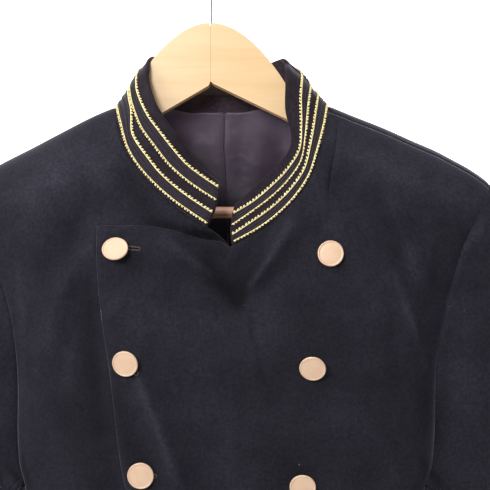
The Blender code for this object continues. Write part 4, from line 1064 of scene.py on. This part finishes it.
def assembled(parts):
    """Joins (points, kind) runs into one loop with a kind for each step."""
    loop, kinds = [], []
    for points, kind in parts:
        points = np.asarray(points, float)
        if loop and np.linalg.norm(points[0] - loop[-1]) < 0.4:
            points = points[1:]
        if len(points) == 0:
            continue
        loop += [tuple(p) for p in points]
        kinds += [kind] * len(points)
    if np.linalg.norm(np.subtract(loop[0], loop[-1])) < 0.4:
        loop.pop()
        kinds.pop()
    return np.array(loop), np.array(kinds)


def hem_line(first, last, level=HEM, count=60):
    return np.array([(x, level) for x in np.linspace(first, last, count)])


def near_dart():
    """Close points along the line stitched from the wearer's left shoulder down over the chest."""
    line = rounded(DART, spacing=2.0)
    found = [laid(moved(line, off)) for off in (0.0, -0.45, 0.45, -1.0, 1.0, -2.2, 2.2)]
    return np.stack(found, 1).reshape(-1, 2)


def front(name, left, with_pieces=()):
    if left:
        edge, top, neck, by = np.array(FLAP_EDGE), np.array(FLAP_TOP), NECK_LEFT, 0.5
        arm, neck_x, arm_x, surface = ARM_LEFT, 91.4, 226.9, over_front
    else:
        edge, top, neck, by = np.array(UNDER_EDGE), np.array(UNDER_TOP), NECK_RIGHT, -0.5
        arm, neck_x, arm_x, surface = ARM_RIGHT, -92.4, -227.0, under_front
    run = SHOULDER[left] + NEAR
    edge_line = rounded(edge[::-1], spacing=6)
    top_line = rounded(top[::-1], spacing=4)
    # the corner of the lap is sewn and turned, so it is a little blunt
    if left:
        edge_line = edge_line[edge_line[:, 1] < 15.8 - 2.2]
        top_line = top_line[top_line[:, 0] > -101.0 + 2.2]
        corner = [(-100.6, 14.6), (-99.7, 15.5)]
        top_line = np.vstack([corner, top_line])
    neck_line = moved(rounded(neck[1:], spacing=4), by)
    arm_line = rounded(arm, spacing=4)
    side = side_line(left, (arm[-1, 1] - 0.1, HEM))
    hem = hem_line(side[-1, 0], edge_line[0, 0])
    shoulder = np.array([(neck_x + (arm_x - neck_x) * k / 30, run) for k in range(31)])
    arm_runs = laid(arm_line[1:-1])
    arm_runs = arm_runs[arm_runs[:, 1] > run + 1.2]
    neck_runs = laid(neck_line)
    neck_runs = neck_runs[neck_runs[:, 1] > run + 0.8]
    loop, kinds = assembled([
        (laid(edge_line), TURNED_EDGE), (laid(top_line), TURNED_EDGE), (neck_runs, SEAM_EDGE),
        (shoulder, SEAM_EDGE),
        (arm_runs, SEAM_EDGE), (laid(side), SEAM_EDGE), (laid(hem), TURNED_EDGE)])
    return cloth(name + "_shell", loop, kinds, surface, 4.6, CLOTH, VELVET, "velvet", [name], held="hung",
                 rests_on=["collar_shell"], with_pieces=with_pieces,
                 extra=np.vstack([near_dart(), near_folds()]) if left else near_folds(),
                 stitched=left)


def back(name, left):
    sign = 1 if left else -1
    rows = COLLAR[12:16] if left else COLLAR[12:8:-1]
    neck = np.stack([rows[:, 0], np.minimum(rows[:, 1], ridge(rows[:, 0])) - 0.6], 1)
    neck[0, 0] = sign * NEAR
    neck_line = rounded(neck, spacing=4)
    arm = BACK_ARM_LEFT if left else BACK_ARM_RIGHT
    run = SHOULDER[left] - NEAR
    arm_line = laid_back(rounded(arm, spacing=4))[1:-1]
    arm_line[:, 1] = np.minimum(arm_line[:, 1], run - 1.5)
    side = side_line(left, (arm[-1, 1] - 0.1, HEM))
    across = 226.9 if left else arm[0, 0]
    shoulder = np.array([(sign * 91.6 + (across - sign * 91.6) * k / 30, run) for k in range(31)])
    if left:
        point = laid(rounded(ARM_LEFT[:3], spacing=1.5))
        point = point[point[:, 1] < run - 0.6][::-1]
        shoulder = np.vstack([[(91.4, 4.0), (91.4, 16.0)], shoulder, point])
    top = [laid_back(neck_line), np.array([(sign * 91.6, -6.0)])]
    hem = hem_line(side[-1, 0], sign * NEAR)
    middle = np.array([(sign * NEAR, z) for z in np.linspace(HEM, 114, 120)])
    loop, kinds = assembled([(np.vstack(top), SEAM_EDGE), (shoulder, SEAM_EDGE), (arm_line, SEAM_EDGE),
                             (laid_back(side), SEAM_EDGE),
                             (laid_back(hem), TURNED_EDGE), (laid_back(middle), SEAM_EDGE)])
    return cloth(name + "_shell", loop, kinds, body, 6.4, CLOTH, VELVET, "velvet", [name], held="hung",
                 rests_on=["collar_shell"])


def side_panel(name, left):
    level = lambda u, v: underarm(u, left) - 0.3 + (HEM - underarm(u, left) + 0.3) * v
    return grid_cloth(name + "_shell", lambda u, v: side_ring(u, v, left),
                      bunched(-0.998, 0.998, 20, (0.012, 0.03)), bunched(0, 1, 56, (0.001, 0.004, 0.01)),
                      CLOTH, VELVET, "velvet",
                      [name], -1.0 if left else 1.0, 0.0, (0.01, 0.5), level,
                      (SEAM_EDGE, SEAM_EDGE, SEAM_EDGE, TURNED_EDGE),
                      rests_on=["back_left_shell" if left else "back_right_shell"])


def tucked_sleeve(angle, t, left):
    """The sleeve, carried on for -t metres under the body's edge where t is below 0."""
    p = sleeve(angle, np.maximum(t, 0), left)
    on = sleeve(angle, np.maximum(t, 0) + 0.002, left) - p
    on /= np.maximum(np.linalg.norm(on, axis=-1, keepdims=True), 1e-9)
    return p + on * np.minimum(t, 0)[..., None] * 1000


UNDER_SEAM = math.radians(150)    # where the sleeve's two seams lie, round the arm from its top


def sleeve_piece(name, left, first, last, count):
    t = np.unique(np.r_[-0.0019, -0.0015, -0.001, -0.0005, 0, 0.002, 0.006, 0.014,
                        np.linspace(0.026, CAP, 48), np.linspace(CAP, 0.985, 66), 0.99, 0.994, 0.9975,
                        0.9992, 1])
    u = bunched(first - 0.002, last + 0.002, count, (0.006, 0.016, 0.038))
    return grid_cloth(name + "_shell", lambda u, v: tucked_sleeve(u, v, left), u, t, CLOTH, VELVET,
                      "velvet", [name], -1.0 if left else 1.0, 0.0, (0.01, 0.002), None,
                      (SEAM_EDGE, SEAM_EDGE, SEAM_EDGE, TURNED_EDGE),
                      rests_on=["front_left_shell" if left else "front_right_shell"])


LINING = 0.8                      # the lining's wall
LINING_GAP = 3.4                  # how far it hangs inside the back
LINING_TOP = [(-88, 120.2), (-66, 124.6), (-38, 121.2), (-18, 119.6), (0, 118.6), (18, 119.5), (38, 121.0),
              (66, 124.2), (88, 120.2)]
LABEL_S, LABEL_V = (0.463, 0.515), (0.41, 0.84)      # the label's place along and up the collar


def lining_middle(z):
    return np.interp(z, [-700, 10, 44, 70, 88, 110, 130], [1.5, 4.0, 2.6, 1.5, 0.4, 1.2, 1.4])


def lining_form(x, run):
    """The lining hangs a little free of the back and is folded into a shallow pleat down its middle."""
    p = body(x, run)
    z = p[..., 2]
    u = np.asarray(x, float) - lining_middle(z)
    low = ease((124 - z) / 9)
    p[..., 1] += low * (0.5 * np.exp(-(u / 1.6) ** 2) - 0.7 * np.exp(-((u - 4.4) / 3.4) ** 2)
                        - 0.7 * np.exp(-((u + 5) / 4.0) ** 2))
    for x0, wide, high in ((-58, 9, -2.4), (-33, 8, 1.6), (30, 9, -2.0), (52, 8, 1.8), (75, 9, -2.2),
                           (-84, 9, 1.6)):
        p[..., 1] += low * high * np.exp(-((np.asarray(x, float) - x0 - 0.06 * (z - 60)) / wide) ** 2)
    return p


def back_lining(with_pieces):
    parts = [(laid_back(rounded(LINING_TOP, spacing=5)), SEAM_EDGE),
             (np.array([(150, -30.0), (198, -30.0)]), SEAM_EDGE)]
    for left in (True, False):
        arm = (BACK_ARM_LEFT if left else BACK_ARM_RIGHT)[2:-1]
        sign = 1 if left else -1
        side = side_line(left, (-202, HEM + 14), 60)
        side[:, 0] -= sign * 4
        line = np.vstack([rounded(np.column_stack([arm[:, 0] - sign * 7, arm[:, 1]]), spacing=6), side,
                          hem_line(side[-1, 0], 0.0, HEM + 14, 30)])
        line = laid_back(line)
        parts.append((line if left else line[::-1], SEAM_EDGE))
    parts.append((np.array([(-196, -30.0), (-150, -30.0)]), SEAM_EDGE))
    loop, kinds = assembled(parts)
    z = np.r_[np.arange(119.0, -60, -1.6), np.arange(-60, HEM + 16, -4.0)]
    runs = run_of(0 * z, z)
    offsets = (-5.0, -2.4, -1.2, -0.7, -0.35, 0, 0.35, 0.7, 1.2, 2.4, 5.0)
    near = np.concatenate([np.stack([lining_middle(z) + off, -runs], 1) for off in offsets])
    return cloth("lining_back_shell", loop, kinds, lining_form, 6.0, LINING, LINING_LOOK, "lining",
                 ["lining_back"], 1.0, -CLOTH - LINING_GAP, rings=(0.4, 2.0),
                 rests_on=["back_left_shell", "back_right_shell"], with_pieces=with_pieces, extra=near,
                 stitched=False)


def lining_seam():
    """The raised seam down the lining's middle."""
    z = np.r_[np.arange(117.0, -60, -2.0), np.arange(-60, HEM + 20, -8.0)]
    path = lifted(lining_form, lining_middle(z), -run_of(0 * z, z), -CLOTH - LINING_GAP - LINING - 0.15)
    return piece("lining_seam", *tube(path, 0.62, 6), LABEL_LOOK, "lining")


# ---------------------------------------------------------------- collar and braid
NECK_STEP = (0.002, 0.02)


def stand():
    v = np.unique(np.r_[0, 0.006, 0.016, 0.04, np.linspace(0.06, 0.94, 22), 0.965, 0.985, 0.994, 1])
    s = np.unique(np.r_[0, 0.0006, 0.0016, 0.004, np.linspace(0.008, 0.992, 300), 0.996, 0.9984, 0.9994, 1])
    return grid_cloth("collar_shell", collar, s, v, STAND, VELVET_COLLAR, "velvet", ["collar"], 1.0, 0.0,
                      NECK_STEP, None, (TURNED_EDGE, TURNED_EDGE, SEAM_EDGE, TURNED_EDGE),
                      held="stretched",
                      rests_on=["front_left_shell", "front_right_shell", "back_left_shell",
                                "back_right_shell"])


def on_collar(s, v, off):
    s, v = np.broadcast_arrays(np.asarray(s, float), np.asarray(v, float))
    return lifted(collar, s, v, off, 1.0, NECK_STEP)


def strayed(v, s):
    """The two lower cords' height: they ride up where the collar folds at the wearer's right."""
    if v > 0.4:
        return np.full_like(s, v)
    if v < 0.1:
        return v + 0.05 * np.exp(-((s - 0.25) / 0.04) ** 2)
    return v + 0.165 * ease((s - 0.212) / 0.04) * ease((0.42 - s) / 0.07)


def neck_lengths(v, count=4000):
    s = np.linspace(0.0035, 0.9965, count)
    p = on_collar(s, strayed(v, s), 1.0)
    return s, np.r_[0, np.cumsum(np.linalg.norm(np.diff(p, axis=0), axis=1))]


def gold_cord(v, outer, pitch, long, thick, slant, core):
    """A gold cord along one line of the collar: a core on the tape's side and slanted loops beside it."""
    s, at = neck_lengths(v)
    n = int(at[-1] / pitch)
    count = np.arange(n)
    want = (count + 0.5) * at[-1] / n + 0.09 * pitch * np.sin(count * 2.399)

    def frame(want):
        where = np.interp(want, at, s)
        middle = on_collar(where, strayed(v, where), 0.95)
        out = on_collar(where, strayed(v, where), 1.95) - middle
        out /= np.linalg.norm(out, axis=1, keepdims=True)
        d = np.gradient(middle, axis=0)
        d /= np.linalg.norm(d, axis=1, keepdims=True)
        up = on_collar(where, strayed(v, where) + 0.01, 0.95) - middle
        up -= d * (up * d).sum(1, keepdims=True)
        return middle, out, d, up * outer / np.linalg.norm(up, axis=1, keepdims=True)

    middle, out, d, side = frame(want)
    turn = np.radians(-slant + 8 * np.sin(count * 1.7))[:, None]
    ahead, over = d * np.cos(turn) + side * np.sin(turn), side * np.cos(turn) - d * np.sin(turn)
    middle = middle + side * (0.42 + 0.1 * np.sin(want / 17.0 + v * 9))[:, None] + out * 0.12
    grow = (1 + 0.1 * np.sin(count * 2.9))[:, None, None]
    a, b = np.meshgrid(np.linspace(0, 2 * np.pi, 10, endpoint=False), np.radians([-66, -28, 12, 50, 80]))
    a, b = a.ravel(), b.ravel()
    loops = ((np.cos(b) * np.cos(a))[None, :, None] * long * ahead[:, None]
             + (np.cos(b) * np.sin(a))[None, :, None] * thick * over[:, None]
             + (np.sin(b) * thick)[None, :, None] * out[:, None])
    points = middle[:, None] + grow * loops
    rings = np.arange(50).reshape(5, 10)
    one = walls(rings) + [tuple(rings[0][::-1]), tuple(rings[-1])]
    middle, out, d, side = frame(np.linspace(0, at[-1], int(at[-1] / 1.6)))
    return joined([tube(middle - side * 0.5 - out * 0.1, core, 6),
                   (points.reshape(-1, 3),
                    [tuple(int(c) + 50 * m for c in face) for m in range(n) for face in one])])


def ribs(low, high):
    """The black part of a tape: three thin ribs on a flat ground."""
    across = np.linspace(0, 1, 37)
    height = 0.5 + 0.75 * np.abs(np.sin(np.pi * 3 * across)) ** 5
    height[[0, -1]] = 0.3
    s, at = neck_lengths((low + high) / 2)
    n = int(at[-1] / 1.25)
    where = np.interp(np.linspace(0, at[-1], n), at, s)
    lo, hi = strayed(low, where) + 0.014, strayed(high, where) - 0.014
    tick = 0.09 * (np.arange(n) % 2)
    rings = []
    for share, h in zip(across, height):
        level = lo + (hi - lo) * share
        base = on_collar(where, level, 0.0)
        rings.append(base + (on_collar(where, level, 1.0) - base) * (h + tick * (h > 0.9))[:, None])
    under = [on_collar(where, v, 0.12) for v in (hi, lo)]
    rings = np.stack(rings + under, 1)
    at = np.arange(rings.shape[0] * rings.shape[1]).reshape(rings.shape[:2])
    return rings.reshape(-1, 3), walls(at) + [tuple(at[0][::-1]), tuple(at[-1])]


def braid(name, low, high):
    made = piece(name + "_ribs", *ribs(low, high), RIB, "braid", [name], angle=50)
    cords = [piece(name + "_cord_1", *gold_cord(low, -1, 2.85, 1.1, 0.8, 20, 0.34), GOLD, "braid"),
             piece(name + "_cord_2", *gold_cord(high, 1, 3.1, 1.3, 0.78, 36, 0.46), GOLD, "braid")]
    length = neck_lengths((low + high) / 2)[1][-1] / 1000.0
    declare(made, 0.0106 * length, (0.0112, length), "laid", ["collar_shell"], cords)
    return made


def label():
    """The bare label on the inside of the collar's back."""
    grid_cloth("label_patch", collar, np.linspace(*LABEL_S, 40), np.linspace(*LABEL_V, 20), 0.5, LABEL_LOOK,
               "label_cloth", ["label"], 1.0, -STAND - 0.35, NECK_STEP, None, (TURNED_EDGE,) * 4, held="laid",
               rests_on=["collar_shell"])


# ---------------------------------------------------------------- buttons and buttonholes
def lathe(spot, face, right, top, profile, sides=56):
    points, rings = [spot + face * profile[0][1]], []
    for r, h in profile[1:-1]:
        rings.append(len(points))
        for k in range(sides):
            t = 2 * math.pi * k / sides
            points.append(spot + face * h + right * r * math.cos(t) + top * r * math.sin(t))
    last = len(points)
    points.append(spot + face * profile[-1][1])
    faces = [(0, rings[0] + k, rings[0] + (k + 1) % sides) for k in range(sides)]
    for a, b in zip(rings, rings[1:]):
        faces += [(a + k, a + (k + 1) % sides, b + (k + 1) % sides, b + k) for k in range(sides)]
    faces += [(rings[-1] + k, rings[-1] + (k + 1) % sides, last) for k in range(sides)]
    return np.array(points), faces


def button(k, row_):
    x, z, across, up = row_
    run = float(run_of(x, z))
    spot = body(x, run)
    normal = lifted(body, x, run, 1.0) - spot
    u = np.cross((0, 0, 1.0), -normal)
    u /= np.linalg.norm(u)
    w = np.cross(normal, u)
    w = w if w[2] > 0 else -w
    a, b = math.radians(across), math.radians(up)
    face = normal + u * math.tan(a) + w * math.tan(b)
    face /= np.linalg.norm(face)
    right = u - face * (u @ face)
    right /= np.linalg.norm(right)
    top = np.cross(face, right)
    lean = math.sin(math.hypot(a, b))
    stand_off, foot = 2.3 + BUTTON_R * lean, 0.2 + 1.6 * lean
    R = BUTTON_R
    profile = [(0, foot - stand_off), (1.6, foot - stand_off), (1.3, -0.6), (2.6, 0.0), (R - 1.3, 0.0),
               (R - 0.45, 0.2), (R - 0.06, 0.75), (R - 0.06, 1.25), (R - 0.35, 1.8), (R - 0.8, 2.0),
               (R - 1.15, 1.92), (R - 1.35, 1.66), (R - 1.55, 1.6), (R - 2.4, 1.72), (R - 4.6, 1.86),
               (R - 7.5, 1.94), (0, 1.97)]
    return piece("button_%d_disc" % k, *lathe(spot + face * stand_off, face, right, top, profile),
                 BUTTON_LOOK, "button_metal", ["button_%d" % k], angle=40)


def buttonhole(k, x, z, angle, long=15.0):
    """A worked slit: a close ring of black stitches round it."""
    n = 96
    t = np.linspace(0, 2 * np.pi, n, endpoint=False)
    half, w = long / 2, 1.25
    ends = np.where(np.cos(t) > 0, half - w, -(half - w))
    px = ends * np.minimum(1, np.abs(np.cos(t)) * 3) + w * np.cos(t)
    pz = w * np.sin(t)
    a = math.radians(angle)
    gx, gz = x + px * math.cos(a) - pz * math.sin(a), z + px * math.sin(a) + pz * math.cos(a)
    run = run_of(gx, gz)
    path = lifted(over_front, gx, run, 0.25)
    size = 0.55 + 0.12 * (np.arange(n) % 2)
    return piece("buttonhole_%d" % k, *tube(path, size, 6, closed=True), THREAD, "velvet")


# ---------------------------------------------------------------- the hanger
BOARD = 12.0                      # its thickness
HX = -10.2                        # where its middle lies across
CROWN = 188.5                     # height of its top
SLOPE = {1: 0.485, -1: 0.583}     # fall of the notch under its middle, by side
PEAK = (HX + 1.6, 141.2)          # top of that notch
BAR_HALF, BAR_LEVEL, BAR_R = 191.7, 28.0, 5.0
WIRE, LOOP = 1.5, 22.0            # the hook's wire and its bend, as radii
CENTRE = 263.0 + WIRE - LOOP      # height of the bend's middle


def board_top(x):
    a = np.abs(x - HX)
    dome = CROWN - 31.5 * (a / 48.6) ** 1.92 - np.where(x < HX, 0.2, 0.0) * np.maximum(a - 48, 0) ** 2
    return np.maximum(dome, ridge(x) - 7.3)


def board_under(x, sign):
    a = abs(x - HX)
    cut = lambda x: PEAK[1] - SLOPE[1 if x > PEAK[0] else -1] * abs(x - PEAK[0])
    if a <= 70:
        return cut(x)
    depth = float(board_top(HX + sign * 70)) - cut(HX + sign * 70)
    return float(board_top(x)) - depth - (30 - depth) * min((a - 70) / 60, 1)


def hanger_half(name, sign):
    end = sign * 213.0
    xs = np.r_[np.linspace(HX + sign * 0.07, HX + sign * 74, 60),
               np.linspace(HX + sign * 80, end - sign * 4, 36)]
    top = [(x, float(board_top(x))) for x in xs] + [(end - sign * 1, float(board_top(end)) - 2),
                                                    (end, float(board_top(end)) - 6)]
    under = [(end, 26.0), (end - sign * 1.5, 21.5), (end - sign * 6, 19.2), (end - sign * 16, 19.2),
             (end - sign * 19.5, 22), (end - sign * 20.6, 28), (end - sign * 22, 38.0)]
    under += [(x, board_under(x, sign)) for x in np.linspace(end - sign * 30, HX + sign * 72, 30)]
    xs = np.linspace(HX + sign * 70, HX + sign * 0.07, 26)
    under += [(x, board_under(x, sign)) for x in (np.r_[xs[:-1], PEAK[0], xs[-1]] if sign > 0 else xs)]
    loop = np.array(top + under)
    d = np.roll(loop, -1, axis=0) - np.roll(loop, 1, axis=0)
    d /= np.linalg.norm(d, axis=1, keepdims=True)
    normal = np.stack([d[:, 1], -d[:, 0]], 1) * sign
    free = (np.abs(loop[:, 0] - HX) > 1.0)[:, None]
    rings = []
    r = 2.2                       # of the board's rounded edges
    for face, angles in ((-1, np.linspace(90, 0, 6)), (1, np.linspace(0, 90, 6))):
        for a in np.radians(angles):
            y = face * (BOARD / 2 - r * (1 - math.sin(a)))
            edge = loop - normal * (r * (1 - math.cos(a))) * free
            rings.append([(x, y, z) for x, z in edge])
    rings = np.array(rings)
    at = np.arange(rings.shape[0] * rings.shape[1]).reshape(rings.shape[:2])
    faces = walls(at) + [tuple(at[0][::-1]), tuple(at[-1])]
    return piece(name + "_board", rings.reshape(-1, 3), faces, WOOD, "wood", [name], angle=35)


def hanger_bar():
    path = [(x, 0.0, BAR_LEVEL) for x in np.linspace(-BAR_HALF, BAR_HALF, 40)]
    radius = np.full(len(path), BAR_R)
    radius[[0, -1]] = BAR_R - 0.4
    return piece("hanger_bar_round", *tube(path, radius, 32), BAR_WOOD, "wood", ["hanger_bar"], angle=40)


def hanger_hook():
    """A wire that rises from the board, leans over and bends round to a narrowed tip."""
    path = [(HX, CROWN + 0.4), (HX, 198), (HX, 205), (HX, 210), (HX + 0.3, 213.6), (HX + 1.2, 217.0),
            (HX + 3.4, 219.9)]
    path += [(HX + LOOP * math.cos(t), CENTRE + LOOP * math.sin(t))
             for t in np.radians(np.linspace(-66, 200, 90))]
    path = [(x, 0.0, z) for x, z in path]
    radius = np.full(len(path), WIRE)
    radius[-3:] = (1.45, 1.25, 0.8)
    return piece("hanger_hook_wire", *tube(path, radius, 20), STEEL, "steel", ["hanger_hook"], angle=50)


# ---------------------------------------------------------------- the jacket put together
stand()
fastened = [button(k + 1, row_) for k, row_ in enumerate(BUTTONS)]
for k, (x, z, angle) in enumerate(BUTTONHOLES):
    fastened.append(buttonhole(k + 1, x, z, angle))
front("front_right", False)
front("front_left", True, with_pieces=fastened)
back("back_left", True)
back("back_right", False)
for left, word in ((True, "left"), (False, "right")):
    side_panel("side_" + word, left)
    sleeve_piece("sleeve_top_" + word, left, -UNDER_SEAM, UNDER_SEAM, 60)
    sleeve_piece("sleeve_under_" + word, left, UNDER_SEAM, 2 * math.pi - UNDER_SEAM, 26)
back_lining([lining_seam()])
braid("braid_lower", CORDS[0], CORDS[1])
braid("braid_upper", CORDS[2], CORDS[3])
label()
hanger_half("hanger_left", 1)
hanger_half("hanger_right", -1)
hanger_bar()
hanger_hook()

for made, flat, held, rests_on, area, with_pieces in SHEETS:
    print("sheet", made.name, flat, area)
